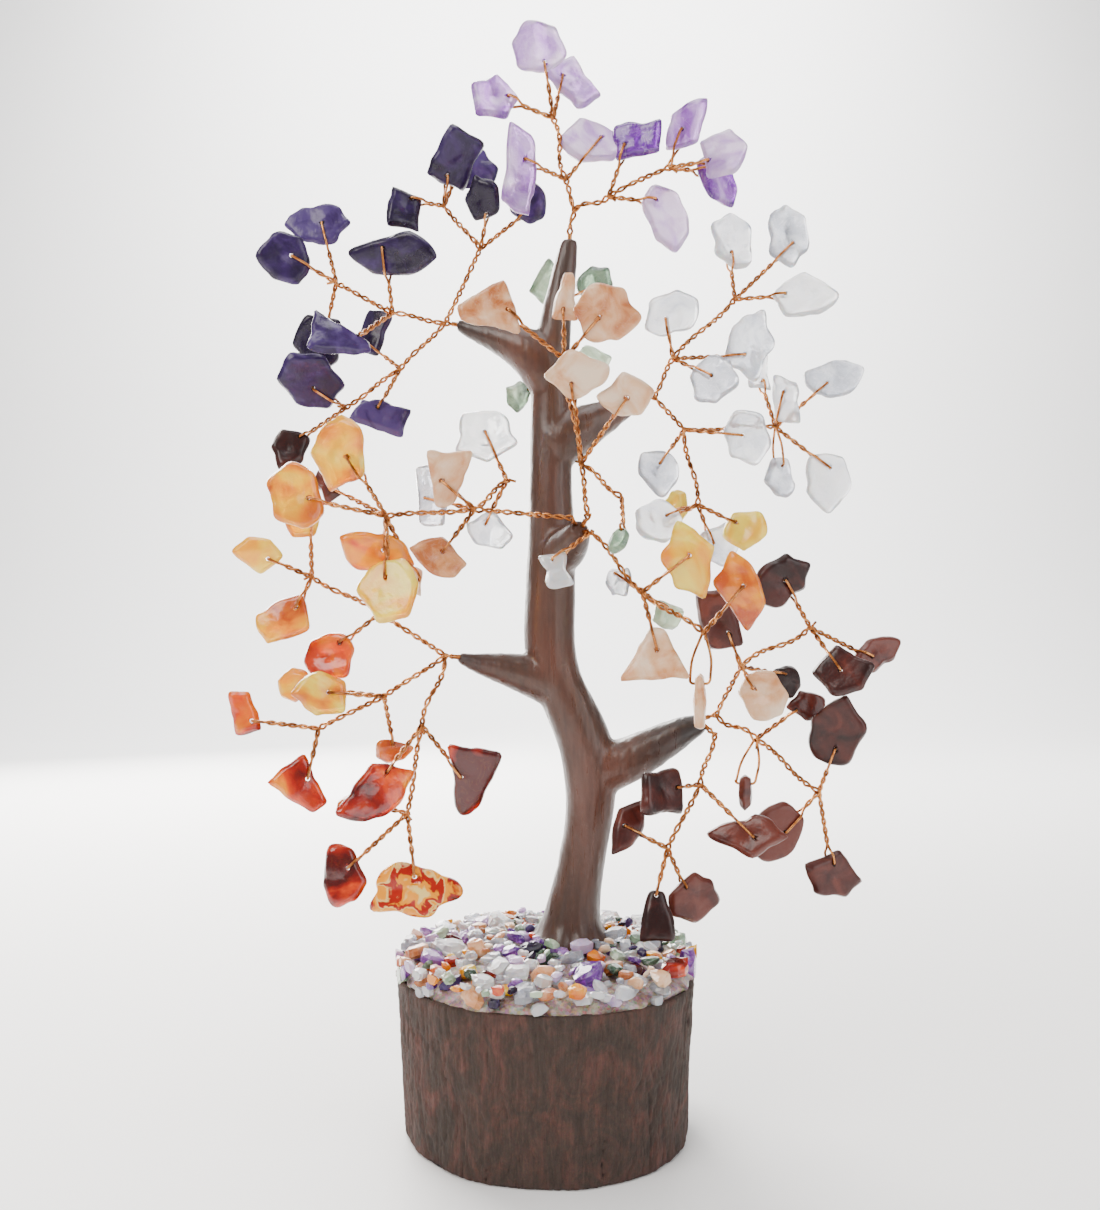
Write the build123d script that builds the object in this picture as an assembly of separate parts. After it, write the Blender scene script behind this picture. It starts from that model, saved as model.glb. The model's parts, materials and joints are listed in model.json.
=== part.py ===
from build123d import *
import os
from math import atan2, cos, degrees, hypot, pi, radians, sin, tan

# ---- Driving sizes, in millimetres and degrees ----------------------------------------------------------

# Log slice with its bark
LOG_HEIGHT = 37.0
LOG_TOP_RADIUS = 35.0
LOG_FOOT_RADIUS = 32.8
BARK_THICKNESS = 2.8
FURROWS = 17
FURROW_DEPTH = 1.3
FURROW_WIDTH = 1.9
FURROW_SPREAD = 0.3    # how unlike each other the cracks are in place, width and depth
LOG_WAVES = ((2, 0.018, 0.6), (3, 0.012, 2.1), (5, 0.006, 4.0))    # lobes, share of radius, phase
LOG_OUTLINE_POINTS = 14

# Glue bed and the chips that lie in it
BED_INSET = 1.6
BED_RIM = 2.0
BED_CROWN = 4.4
GRAVEL_SIZE = 5.8
GRAVEL_GAP = 0.8
GRAVEL_THICKNESS = 2.6
GRAVEL_SINK = 0.8
GRAVEL_LEAN = 9.0
GRAVEL_BORDER = 4.2
GRAVEL_DRIFT = 0.07    # how far a chip strays along its ring, in spacings
GRAVEL_SPREAD = 0.12    # how unlike each other the chips are in length and width
GRAVEL_ASPECT = 0.78
GRAVEL_TURN = 67.0

# Clay trunk: share of the height, sideways place, radius
TRUNK_HEIGHT = 173.0
TRUNK_DEPTH = 4.0
TRUNK_STATIONS = (
    (0.0, 5.5, 8.6), (0.05, 5.6, 7.0), (0.12, 7.6, 5.9), (0.225, 10.4, 6.0), (0.32, 8.0, 6.8),
    (0.41, 1.4, 6.3), (0.49, 0.7, 6.1), (0.63, 0.9, 5.4), (0.77, 0.8, 4.8), (0.885, 2.0, 3.9),
    (0.96, 4.2, 3.0), (1.0, 5.4, 2.1),
)

# Copper wire
WIRE_DIAMETER = 0.55
CORE_RADIUS = 1.7
CORE_STEP = 0.08
CORE_TOP = 0.85    # share of the trunk's height where the thick core thins to one pair
STAKE_DEPTH = 12.0
STAKE_CLEARANCE = 0.1
STUB_LENGTH = 1.6
LEAD_LENGTH = 1.5
BEND_GAP = 0.25
LOOP_PLAY = 0.12
TWIST_RADIUS = WIRE_DIAMETER

# Drilled stone chips
STONE_THICKNESS = 3.0
STONE_BEVEL = 33.0
SWING_CLEARANCE = 0.1
SWING_ROOM = 0.35
LEG_OFFSET = 0.52    # how far each leg of a hairpin starts beside its fork, in wire diameters
FACINGS = ((-16, 5), (9, -8), (17, 10), (-7, -4), (12, 6), (-19, -9), (4, 8))    # yaw and nod of each chip in turn

# Unevenness from piece to piece: radians from one piece to the next, and the rise for each further stream
UNEVEN_PACE = 1.3
UNEVEN_STEP = 0.6
NEARLY_PARALLEL = 1e-9

# ---- Chip outlines: shares of length and of width, from the chip's near end ------------------------------

KITE = ((0, 0), (0.4, -0.5), (1, 0), (0.4, 0.5))
SHIELD = ((0, -0.35), (0.55, -0.5), (1, 0), (0.55, 0.5), (0, 0.35))
WEDGE = ((0, -0.5), (1, -0.22), (1, 0.22), (0, 0.5))
SLAB = ((0, -0.38), (0.85, -0.5), (1, 0.3), (0.12, 0.5))
LEAF = ((0, 0), (0.3, -0.48), (0.8, -0.42), (1, 0.08), (0.45, 0.5))
PEBBLE = ((0, -0.12), (0.25, -0.5), (0.8, -0.42), (1, 0.1), (0.7, 0.5), (0.2, 0.42))
TRIANGLE = ((0, -0.5), (1, -0.12), (1, 0.12), (0, 0.5))
BLADE = ((0, 0.2), (0.3, -0.5), (1, -0.25), (0.75, 0.35), (0.35, 0.5))
DROP = ((0, -0.22), (0.65, -0.5), (1, -0.2), (1, 0.2), (0.65, 0.5), (0, 0.22))
FAN = ((0, -0.16), (1, -0.5), (1, 0.5), (0, 0.16))
WAVE = ((0, 0), (0.06, -0.42), (0.75, -0.5), (1, -0.1), (0.92, 0.36), (0.4, 0.5))

# ---- Plain helpers ---------------------------------------------------------------------------------------


def save(shape, node):
    """Write one node's solids as a STEP file."""
    export_step(shape, f"parts/{node}.step")


def group(solids):
    """Several separate solids of one node."""
    return Compound(children=[solid for part in solids for solid in part.solids()])


def round_bar(start, end, radius):
    """A straight round wire from one point to another."""
    axis = end - start
    return Solid.make_cylinder(radius, axis.length, Plane(origin=start, z_dir=axis))


def uneven(index, stream):
    """A number between -1 and 1 that differs from one piece to the next, and from stream to stream."""
    return sin(index * (UNEVEN_PACE + UNEVEN_STEP * stream))


def less(shape, cutters):
    """A shape with every cutter taken out of it."""
    for cutter in cutters:
        shape = shape - cutter
    return shape


def joined(shapes):
    """Shapes that touch, fused into one."""
    whole = shapes[0]
    for shape in shapes[1:]:
        whole = whole + shape
    return whole


def chip_outline(outline, length, width, seat):
    """A chip's corners, measured from its bore."""
    return [((u - seat[0]) * length, (v - seat[1]) * width) for u, v in outline]


def chip_blank(corners, thickness):
    """A tumbled chip lying flat: a ridge round its rim between two bevelled faces."""
    rim = make_face(Polyline(*corners, close=True))
    return extrude(rim, amount=thickness / 2, both=True, taper=STONE_BEVEL)


# ---- Log slice -------------------------------------------------------------------------------------------


def log_reach(radius, angle):
    """How far the log's outline is from its middle at an angle: a circle with a few shallow lobes."""
    return radius * (1 + sum(share * cos(lobes * angle + phase) for lobes, share, phase in LOG_WAVES))


def log_outline(radius, height):
    """The log's closed outline at one height."""
    points = []
    for step in range(LOG_OUTLINE_POINTS):
        angle = 2 * pi * step / LOG_OUTLINE_POINTS
        reach = log_reach(radius, angle)
        points.append((reach * cos(angle), reach * sin(angle), height))
    return make_face(Spline(*points, periodic=True))


def log_solid(inset):
    """The whole log slice, shrunk by an inset, from its foot to its top."""
    return loft([log_outline(LOG_FOOT_RADIUS - inset, 0), log_outline(LOG_TOP_RADIUS - inset, LOG_HEIGHT)])


def furrow(index):
    """One crack of the bark, as the wedge that it takes out of the log's side."""
    angle = 360 * (index + FURROW_SPREAD * uneven(index, 0)) / FURROWS
    width = FURROW_WIDTH * (1 + FURROW_SPREAD * uneven(index, 1))
    depth = FURROW_DEPTH * (1 + FURROW_SPREAD * uneven(index, 2))
    lean = atan2(LOG_TOP_RADIUS - LOG_FOOT_RADIUS, LOG_HEIGHT)
    surface = log_reach((LOG_TOP_RADIUS + LOG_FOOT_RADIUS) / 2, radians(angle))
    profile = Polyline((-depth, 0), (width, width), (width, -width), close=True)
    wedge = extrude(make_face(profile), amount=LOG_HEIGHT, both=True)
    stance = Rot(0, 0, angle) * Pos(surface, 0, LOG_HEIGHT / 2) * Rot(0, degrees(lean), 0)
    return stance * wedge


def wood_core():
    """The bare wood, with a blind bore for the foot of the wire bundle."""
    foot = trunk_point(0)
    bore = round_bar(foot + Vector(0, 0, -STAKE_DEPTH), foot, CORE_RADIUS + STAKE_CLEARANCE)
    return log_solid(BARK_THICKNESS) - bore


def bark_ring():
    """The bark round the wood, cracked from top to foot."""
    return less(log_solid(0) - log_solid(BARK_THICKNESS), [furrow(index) for index in range(FURROWS)])


# ---- Clay trunk and limbs --------------------------------------------------------------------------------


def trunk_point(share):
    """A point on the trunk's centre line, at a share of its height above the log."""
    for (low, x_low, _), (high, x_high, _) in zip(TRUNK_STATIONS, TRUNK_STATIONS[1:]):
        if share <= high:
            blend = (share - low) / (high - low)
            return Vector(x_low + blend * (x_high - x_low), TRUNK_DEPTH, LOG_HEIGHT + share * TRUNK_HEIGHT)


# Each limb: share of the trunk's height where it starts, then its centre line and radii from that point.
# The last station of a limb is where its wires leave the clay.
LIMBS = {
    "lower_left": (0.375, ((0, 0, 0, 6.2), (-11, -2, 4.6, 4.5), (-19, -5, 6.4, 2.8), (-24.6, -8.4, 8.2, 1.3))),
    "lower_right": (0.26, ((0, 0, 0, 6.2), (12.4, -0.6, 4.6, 5.3), (20.4, -1.6, 9, 4.1), (27.4, -3.4, 12.6, 2.2))),
    "upper_left": (0.8, ((0, 0, 0, 5.6), (-7.4, 0.6, 9, 5.2), (-15, 2, 12.2, 3.2), (-23, 3.8, 15.4, 1.4))),
    "mid_right": (0.71, ((0, 0, 0, 6.2), (9.6, 0.8, 6.2, 5), (16, 1.8, 9.4, 3.2), (22.4, 3.4, 12.6, 1.4))),
    "front": (0.555, ((0, 0, 0, 5.2), (4.4, -6.4, 3.2, 4.6), (6.8, -12, 6.6, 2.4))),
    "back": (0.7, ((0, 0, 0, 5), (1, 5, 4, 4), (1.4, 10.4, 8, 1.6))),
}


def limb_line(name):
    """A limb's centre line as points, from inside the trunk to its end."""
    share, stations = LIMBS[name]
    return [trunk_point(share) + Vector(x, y, z) for x, y, z, _ in stations]


def limb(name):
    """One tapered clay limb, lofted through round sections square to its centre line."""
    line = limb_line(name)
    radii = [radius for _, _, _, radius in LIMBS[name][1]]
    sections = []
    for index, (centre, radius) in enumerate(zip(line, radii)):
        ahead = line[min(index + 1, len(line) - 1)]
        behind = line[max(index - 1, 0)]
        sections.append(Plane(origin=centre, z_dir=ahead - behind) * Circle(radius))
    return loft(sections)


def bare_trunk():
    """The trunk without limbs, flared at its foot and drawn out to a thin tip."""
    sections = []
    for share, _, radius in TRUNK_STATIONS:
        sections.append(Plane(origin=trunk_point(share), z_dir=(0, 0, 1)) * Circle(radius))
    return loft(sections)


def clay_form():
    """Trunk and limbs as one body of clay."""
    form = bare_trunk()
    for name in LIMBS:
        form = form + limb(name)
    return form


# ---- Wires: where each main wire leaves the clay ---------------------------------------------------------

# Main wire: the limb that it leaves, its offset from that limb's end, and the way that it points there
MAIN_WIRES = {
    "crown": ("top", (0, 0, 0), (0.05, -0.15, 1)),
    "upper_left": ("upper_left", (0, 0, 0), (-1, 0.2, 0.2)),
    "front_left": ("front", (-1, 0.4, 0.8), (-0.5, -1, 0.5)),
    "centre": ("front", (0.7, 0.4, 0.8), (0.5, -1, 1)),
    "front_right": ("front", (0.6, 0.4, -0.9), (0.7, -1, -0.1)),
    "lower_left": ("lower_left", (0, 0, 0), (-1, -0.5, 0.1)),
    "upper_right": ("mid_right", (0, 0, 0), (1, 0.3, 0.3)),
    "lower_right": ("lower_right", (0.2, 0.2, 0.9), (1, 0, 0.3)),
    "under_right": ("lower_right", (0.4, -0.4, -0.9), (0.8, -0.4, -0.7)),
    "back": ("back", (0, 0, 0), (0.1, 1, 0.7)),
}


def limb_end(name):
    """Where a limb's clay ends."""
    return trunk_point(1) if name == "top" else limb_line(name)[-1]


def main_wire_exit(name):
    """The bend where a main wire can be turned: a short stub beyond the clay."""
    limb_name, offset, way = MAIN_WIRES[name]
    return limb_end(limb_name) + Vector(*offset) + Vector(*way).normalized() * STUB_LENGTH


def core_line(share_start, share_end):
    """Points along the middle of the trunk, evenly spaced."""
    steps = max(1, round((share_end - share_start) / CORE_STEP))
    return [trunk_point(share_start + (share_end - share_start) * step / steps) for step in range(steps + 1)]


def thick_line(points, radius):
    """A round wire bundle through several points, with mitred bends."""
    path = Polyline(*points)
    return sweep(Plane(origin=points[0], z_dir=points[1] - points[0]) * Circle(radius), path=path,
                 transition=Transition.RIGHT)


def wire_bundle():
    """The bundle inside the clay: a core from the log up the trunk, and one strand pair to each exit."""
    stake = [trunk_point(0) + Vector(0, 0, -STAKE_DEPTH)]
    bundle = thick_line(stake + core_line(0, CORE_TOP), CORE_RADIUS)
    bundle = bundle + round_bar(trunk_point(CORE_TOP), trunk_point(1), TWIST_RADIUS)
    for name, (limb_name, offset, way) in MAIN_WIRES.items():
        mouth = limb_end(limb_name) + Vector(*offset)
        exit_point = main_wire_exit(name)
        heel = mouth - Vector(*way).normalized() * TWIST_RADIUS
        route = [heel, exit_point - (exit_point - mouth).normalized() * BEND_GAP]
        bundle = bundle + round_bar(route[0], route[1], TWIST_RADIUS)
        if limb_name != "top":
            inner = limb_line(limb_name)[:-1] + [heel]
            for start, end in zip(inner, inner[1:]):
                bundle = bundle + round_bar(start, end + (end - start).normalized() * TWIST_RADIUS, TWIST_RADIUS)
    return bundle


# ---- Sprays: one main wire, its forks, and the chips on its loops ----------------------------------------


class Fork:
    """A point where wires part, with the solids that already meet there."""

    def __init__(self, point):
        self.point = point
        self.bars = []
        self.loops = []


class Spray:
    """All that hangs on one main wire. Places are measured from the wire's own bend, in millimetres."""

    def __init__(self, name):
        self.name = name
        self.bend = Fork(main_wire_exit(name))
        self.forks = []
        self.bars = []
        self.stones = {}
        self.swinging = []
        self.tip = self.branch(self.bend, Vector(*MAIN_WIRES[name][2]).normalized() * LEAD_LENGTH)

    def place(self, offset):
        return self.bend.point + Vector(*offset)

    def branch(self, fork, offset):
        """A twisted pair of wires from one fork to a new one."""
        end = Fork(self.place(offset))
        ahead = (end.point - fork.point).normalized() * TWIST_RADIUS
        bar = less(round_bar(fork.point, end.point + ahead, TWIST_RADIUS), fork.bars)
        fork.bars.append(bar)
        end.bars.append(bar)
        self.bars.append(bar)
        self.forks.append(end)
        return end

    def facing(self):
        """Which way the next chip looks: nearly forward, a little turned, each one unlike the last."""
        count = sum(len(stones) for stones in self.stones.values())
        return FACINGS[count % len(FACINGS)]

    def chip_plane(self, fork, bore, turn, facing):
        """The plane of a chip: it holds the fork that its loop comes from."""
        yaw, nod = (radians(angle) for angle in facing)
        front = Vector(sin(yaw) * cos(nod), -cos(yaw) * cos(nod), sin(nod))
        leg = (fork.point - bore).normalized()
        normal = (front - leg * front.dot(leg)).normalized()
        along = Vector(cos(radians(turn)), 0, sin(radians(turn)))
        along = (along - normal * along.dot(normal)).normalized()
        return Plane(origin=bore, x_dir=along, z_dir=normal)

    def loop(self, fork, plane, corners, thickness):
        """A single wire bent into a hairpin: out over one face, through the bore, and back over the other."""
        leg = fork.point - plane.origin
        run = leg.length
        flat = (leg.dot(plane.x_dir) / run, leg.dot(plane.y_dir) / run)
        shoulder = max(rim_distance(corners, flat) - thickness / 2 * tan(radians(STONE_BEVEL)), 0)
        height = (thickness / 2 + WIRE_DIAMETER / 2 + LOOP_PLAY) * run / (run - shoulder)
        side = plane.z_dir * WIRE_DIAMETER * LEG_OFFSET
        lift = plane.z_dir * height
        points = [fork.point + side, plane.origin + lift, plane.origin - lift, fork.point - side]
        wire = thick_line(points, WIRE_DIAMETER / 2)
        fork.loops.append(less(wire, fork.bars))

    def stone(self, kind, outline, fork, offset, length, width, turn, seat, facing=None):
        """A drilled chip held tight in its loop."""
        bore = self.place(offset)
        plane = self.chip_plane(fork, bore, turn, facing or self.facing())
        corners = chip_outline(outline, length, width, seat)
        blank = chip_blank(corners, STONE_THICKNESS)
        hole = Cylinder(WIRE_DIAMETER / 2, 2 * STONE_THICKNESS)
        self.loop(fork, plane, corners, STONE_THICKNESS)
        self.stones.setdefault(kind, []).append(plane * (blank - hole))

    def hanging_stone(self, node, outline, fork, offset, length, width, reach, facing):
        """A drilled chip that swings on the cross wire of a loose loop, and hangs straight down from it."""
        bore = self.place(offset)
        yaw = radians(facing)
        front = Vector(sin(yaw), -cos(yaw), 0)
        plane = Plane(origin=bore, x_dir=(0, 0, -1), z_dir=front)
        corners = chip_outline(outline, length, width, (reach / length, 0))
        hole = Cylinder(WIRE_DIAMETER / 2 + SWING_CLEARANCE, 2 * STONE_THICKNESS)
        self.loose_loop(fork, plane, reach)
        self.swinging.append((node, plane * (chip_blank(corners, STONE_THICKNESS) - hole), bore, front))

    def loose_loop(self, fork, plane, reach):
        """A wide hairpin whose legs stand clear of the chip between them."""
        spread = plane.z_dir * (STONE_THICKNESS / 2 + SWING_ROOM + WIRE_DIAMETER / 2)
        rise = (fork.point - plane.origin).normalized() * (reach + SWING_ROOM)
        side = plane.z_dir * WIRE_DIAMETER * LEG_OFFSET
        points = [fork.point + side, plane.origin + rise + spread, plane.origin + spread,
                  plane.origin - spread, plane.origin + rise - spread, fork.point - side]
        fork.loops.append(less(thick_line(points, WIRE_DIAMETER / 2), fork.bars))

    def save(self):
        """Write this spray's nodes: its twisted wires, its loops, and its chips by kind of stone."""
        save(group(self.bars), f"{self.name}_branches")
        save(group([joined(fork.loops) for fork in self.forks if fork.loops]), f"{self.name}_loops")
        for kind, stones in self.stones.items():
            save(group(stones), f"{self.name}_{kind}")
        for node, stone, _, _ in self.swinging:
            save(stone, node)


def rim_distance(corners, way):
    """How far a chip's rim is from its bore, along a direction in its plane."""
    reach = 0
    for (x_a, y_a), (x_b, y_b) in zip(corners, corners[1:] + corners[:1]):
        edge_x = x_b - x_a
        edge_y = y_b - y_a
        cross = way[0] * edge_y - way[1] * edge_x
        if abs(cross) > NEARLY_PARALLEL:
            distance = (x_a * edge_y - y_a * edge_x) / cross
            share = (x_a * way[1] - y_a * way[0]) / cross
            if distance > 0 and 0 <= share <= 1:
                reach = max(reach, distance)
    return reach


def crown():
    """Pale amethyst at the top of the tree."""
    spray = Spray("crown")
    tip = spray.tip
    low = spray.branch(tip, (1, -1, 5))
    mid = spray.branch(low, (-1, -2, 12))
    high = spray.branch(mid, (-4, -1, 27))
    side = spray.branch(low, (9, -4, 7))
    far = spray.branch(side, (23, -6, 13))
    spray.stone("amethyst", SLAB, mid, (-11, -5, 15), 21, 9, 90, (0.59, -0.11))
    spray.stone("amethyst", LEAF, mid, (7, 4, 24), 17, 12, 15, (0.64, 0.01))
    spray.stone("amethyst", SHIELD, high, (-15, -4, 30), 12, 11, 230, (0.23, 0.20))
    spray.stone("amethyst", PEBBLE, high, (-6, -5, 38), 12, 12, 100, (0.20, -0.10))
    spray.stone("amethyst", SLAB, high, (-2, 2, 38), 14, 10, -45, (0.36, -0.20))
    spray.stone("amethyst", SLAB, side, (13, -6, 18), 12, 9, 10, (0.24, -0.10))
    spray.stone("amethyst", PEBBLE, side, (20, -1, 7), 17, 10, -80, (0.26, -0.25))
    spray.stone("amethyst", KITE, far, (26, -10, 20), 14, 9, 40, (0.42, 0))
    spray.stone("amethyst", LEAF, far, (32, -7, 14), 13, 11, 60, (0.24, 0.15))
    spray.stone("amethyst", PEBBLE, far, (34, -1, 14), 14, 10, -75, (0.34, -0.12))
    return spray


def upper_left():
    """Indigo sodalite at the upper left."""
    spray = Spray("upper_left")
    tip = spray.tip
    top = spray.branch(tip, (7, 2, 19))
    top_left = spray.branch(top, (-2, 3, 30))
    left = spray.branch(tip, (-14, -2, 2))
    far_left = spray.branch(left, (-28, 0, 10))
    down = spray.branch(tip, (-13, 4, -10))
    down_left = spray.branch(down, (-26, 2, -20))
    spray.stone("sodalite", SLAB, top_left, (-10, 0, 30), 11, 9, 90, (0.74, -0.18))
    spray.stone("sodalite", PEBBLE, top_left, (2, 6, 42), 12, 11, 0, (0.20, 0.10))
    spray.stone("sodalite", SLAB, top_left, (-1, -1, 36), 15, 12, 80, (0.23, 0.05))
    spray.stone("sodalite", SHIELD, top, (9, -2, 26), 10, 9, 100, (0.09, 0))
    spray.stone("sodalite", PEBBLE, top, (18, 5, 29), 11, 9, 80, (0.22, 0.05))
    spray.stone("sodalite", BLADE, left, (-15, -7, 16), 23, 10, 188, (0.56, -0.20))
    spray.stone("sodalite", PEBBLE, far_left, (-32, 3, 25), 16, 12, 175, (0.42, 0.02))
    spray.stone("sodalite", PEBBLE, far_left, (-38, -4, 15), 13, 12, 170, (0.39, -0.09))
    spray.stone("sodalite", SHIELD, far_left, (-31, 4, 1), 15, 12, -100, (0.12, 0.14))
    spray.stone("sodalite", FAN, left, (-21, -10, -6), 14, 12, 180, (0.21, -0.22))
    spray.stone("sodalite", SLAB, down, (-22, 10, -2), 13, 9, 80, (0.27, 0.08))
    spray.stone("sodalite", SLAB, down, (-18, 0, -21), 15, 8, 175, (0.57, -0.19))
    spray.stone("sodalite", PEBBLE, down_left, (-33, -3, -16), 16, 14, 110, (0.40, 0))
    spray.stone("sodalite", SHIELD, down_left, (-36, -4, -29), 11, 9, -110, (0.15, 0.16))
    return spray


def front_left():
    """The stem that crosses in front of the trunk, with peach, quartz and citrine chips."""
    spray = Spray("front_left")
    tip = spray.tip
    near = spray.branch(tip, (-22, -6, 2))
    upper = spray.branch(near, (-15, -2, 9))
    far = spray.branch(near, (-41, -10, 0))
    spray.stone("peach", WEDGE, near, (-29, -11, 8), 13, 10, -90, (0.50, -0.16))
    spray.stone("quartz", SHIELD, upper, (-20, 1, 20), 14, 13, -10, (0.45, 0.02))
    spray.stone("quartz", LEAF, upper, (-20, 2, 0), 12, 8, -20, (0.36, 0.25))
    spray.stone("quartz", SLAB, near, (-33, -1, 5), 15, 9, -80, (0.53, -0.16))
    spray.stone("peach", LEAF, near, (-29, -9, -8), 13, 9, -15, (0.54, 0.10))
    spray.stone("citrine", LEAF, far, (-49, -10, 13), 17, 14, 75, (0.50, -0.18))
    spray.stone("citrine", PEBBLE, far, (-57, -15, 3), 15, 11, 95, (0.46, -0.23))
    spray.stone("citrine", PEBBLE, far, (-40, -14, -14), 15, 13, -60, (0.32, 0.07))
    spray.stone("jasper", SLAB, far, (-54, -2, 7), 9, 5, -40, (0.72, 0.15))
    spray.stone("carnelian", BLADE, far, (-42, -8, -7), 17, 9, 170, (0.43, -0.13))
    spray.stone("peach", SLAB, near, (-35, -5, -12), 7, 3, -85, (0.23, 0.05))
    return spray


def lower_left():
    """Orange carnelian and yellow citrine, with one banded agate, at the lower left."""
    spray = Spray("lower_left")
    tip = spray.tip
    high = spray.branch(tip, (-16, -3, 10))
    high_far = spray.branch(high, (-31, -6, 18))
    level = spray.branch(tip, (-15, -4, -9))
    level_far = spray.branch(level, (-29, -8, -16))
    low = spray.branch(tip, (-7, 1, -16))
    low_end = spray.branch(low, (-10, -2, -36))
    spray.stone("carnelian", PEBBLE, high, (-25, -2, 3), 14, 11, 180, (0.31, -0.29))
    spray.stone("citrine", LEAF, high_far, (-40, -9, 22), 11, 8, 170, (0.27, 0.05))
    spray.stone("citrine", SHIELD, high_far, (-32, -3, 30), 10, 8, 90, (0.23, -0.21))
    spray.stone("citrine", SLAB, high_far, (-34, -7, 11), 12, 9, -150, (0.19, -0.12))
    spray.stone("citrine", SHIELD, level, (-27, -8, -8), 12, 10, 180, (0.33, -0.02))
    spray.stone("citrine", PEBBLE, level, (-35, -1, -7), 8, 8, 150, (0.33, -0.04))
    spray.stone("citrine", PEBBLE, level, (-14, 3, -20), 9, 7, 0, (0.48, 0.38))
    spray.stone("carnelian", SLAB, level_far, (-43, -11, -14), 10, 6, 110, (0.26, -0.24))
    spray.stone("carnelian", WEDGE, level_far, (-31, -10, -27), 12, 10, -50, (0.43, 0.21))
    spray.stone("carnelian", BLADE, low, (-14, -9, -26), 21, 11, -138, (0.27, -0.15))
    spray.stone("carnelian", TRIANGLE, low, (2, 4, -28), 17, 13, -100, (0.43, -0.16))
    spray.stone("citrine", PEBBLE, low_end, (-21, 2, -34), 8, 6, 190, (0.13, -0.07))
    spray.stone("carnelian", DROP, low_end, (-23, -4, -48), 14, 10, -85, (0.38, 0.11))
    spray.stone("agate", WAVE, low_end, (-8, -4, -50), 21, 12, -5, (0.46, 0.24))
    return spray


def upper_right():
    """Clear quartz at the upper right, with two pale citrine chips."""
    spray = Spray("upper_right")
    tip = spray.tip
    high = spray.branch(tip, (6, 1, 10))
    high_far = spray.branch(high, (22, 6, 26))
    low = spray.branch(tip, (9, 3, -7))
    low_end = spray.branch(low, (13, 7, -25))
    far = spray.branch(low, (33, 10, -5))
    spray.stone("quartz", PEBBLE, high, (4, -2, 19), 14, 11, 20, (0.40, -0.04))
    spray.stone("quartz", PEBBLE, high, (15, -4, 4), 13, 12, 30, (0.49, 0.03))
    spray.stone("quartz", PEBBLE, high_far, (21, 8, 38), 15, 12, 80, (0.24, 0.02))
    spray.stone("quartz", PEBBLE, high_far, (37, 10, 41), 17, 11, 85, (0.36, -0.09))
    spray.stone("quartz", LEAF, high_far, (34, 3, 26), 16, 12, -10, (0.20, -0.03))
    spray.stone("quartz", PEBBLE, low, (23, 0, -9), 14, 11, -80, (0.45, -0.08))
    spray.stone("quartz", SHIELD, low, (2, -3, -17), 12, 11, -90, (0.30, 0.05))
    spray.stone("quartz", PEBBLE, low_end, (4, 2, -29), 13, 12, -40, (0.54, 0.14))
    spray.stone("citrine", SHIELD, low_end, (22, 4, -30), 10, 10, -90, (0.26, -0.25))
    spray.stone("citrine", PEBBLE, low_end, (9, 12, -26), 9, 8, 100, (0.34, -0.14))
    spray.stone("quartz", SHIELD, high, (24, 6, 12), 17, 13, 70, (0.24, 0.10))
    spray.stone("quartz", SLAB, far, (30, 13, 7), 13, 7, 95, (0.18, -0.02))
    spray.stone("quartz", SLAB, far, (34, 4, 3), 13, 7, 90, (0.69, 0))
    spray.stone("quartz", SHIELD, far, (46, 11, 6), 15, 10, 15, (0.29, -0.10))
    spray.stone("quartz", SHIELD, far, (47, 12, -15), 15, 12, -85, (0.23, 0.03))
    spray.stone("quartz", SHIELD, low_end, (17, 11, -34), 12, 10, -60, (0.29, -0.18))
    spray.hanging_stone("quartz_drop", DROP, far, (34, 10, -15), 10, 9, 2.2, 20)
    return spray


def centre():
    """Peach moonstone in front of the trunk, on a stem that climbs beside it."""
    spray = Spray("centre")
    tip = spray.tip
    shoulder = spray.branch(tip, (-1, 2, 13))
    top = spray.branch(shoulder, (-5, -2, 36))
    side = spray.branch(shoulder, (8, -2, 5))
    spray.stone("peach", LEAF, shoulder, (-3, -5, 30), 15, 11, 10, (0.42, -0.16))
    spray.stone("peach", LEAF, shoulder, (9, -4, 27), 13, 10, 0, (0.52, -0.06))
    spray.stone("peach", TRIANGLE, top, (-18, -4, 46), 13, 13, 195, (0.16, 0.08))
    spray.stone("peach", WEDGE, top, (-5, -1, 47), 11, 6, 85, (0.16, 0.06))
    spray.stone("peach", PEBBLE, top, (3, -7, 44), 15, 12, -12, (0.42, -0.12))
    spray.stone("aventurine", PEBBLE, side, (8, -10, -4), 7, 5, -100, (0.16, 0.01))
    return spray


def front_right():
    """Yellow, peach and orange chips to the right of the front stub."""
    spray = Spray("front_right")
    tip = spray.tip
    mid = spray.branch(tip, (12, -7, -14))
    far = spray.branch(mid, (25, -11, -23))
    spray.stone("quartz", SLAB, tip, (-8, -4, -7), 9, 7, -70, (0.24, -0.04))
    spray.stone("quartz", PEBBLE, mid, (7, -1, -10), 9, 7, -60, (0.30, 0))
    spray.stone("citrine", LEAF, mid, (22, -10, -6), 18, 12, -75, (0.44, 0.03))
    spray.stone("peach", TRIANGLE, mid, (15, -11, -27), 12, 15, 90, (0.56, -0.03))
    spray.stone("aventurine", SLAB, mid, (17, -2, -17), 10, 6, -10, (0.29, 0.23))
    spray.stone("carnelian", BLADE, far, (33, -15, -13), 17, 10, -65, (0.46, 0.09))
    spray.hanging_stone("peach_drop", DROP, far, (24, -12, -34), 12, 8, 2.2, 80)
    return spray


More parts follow.
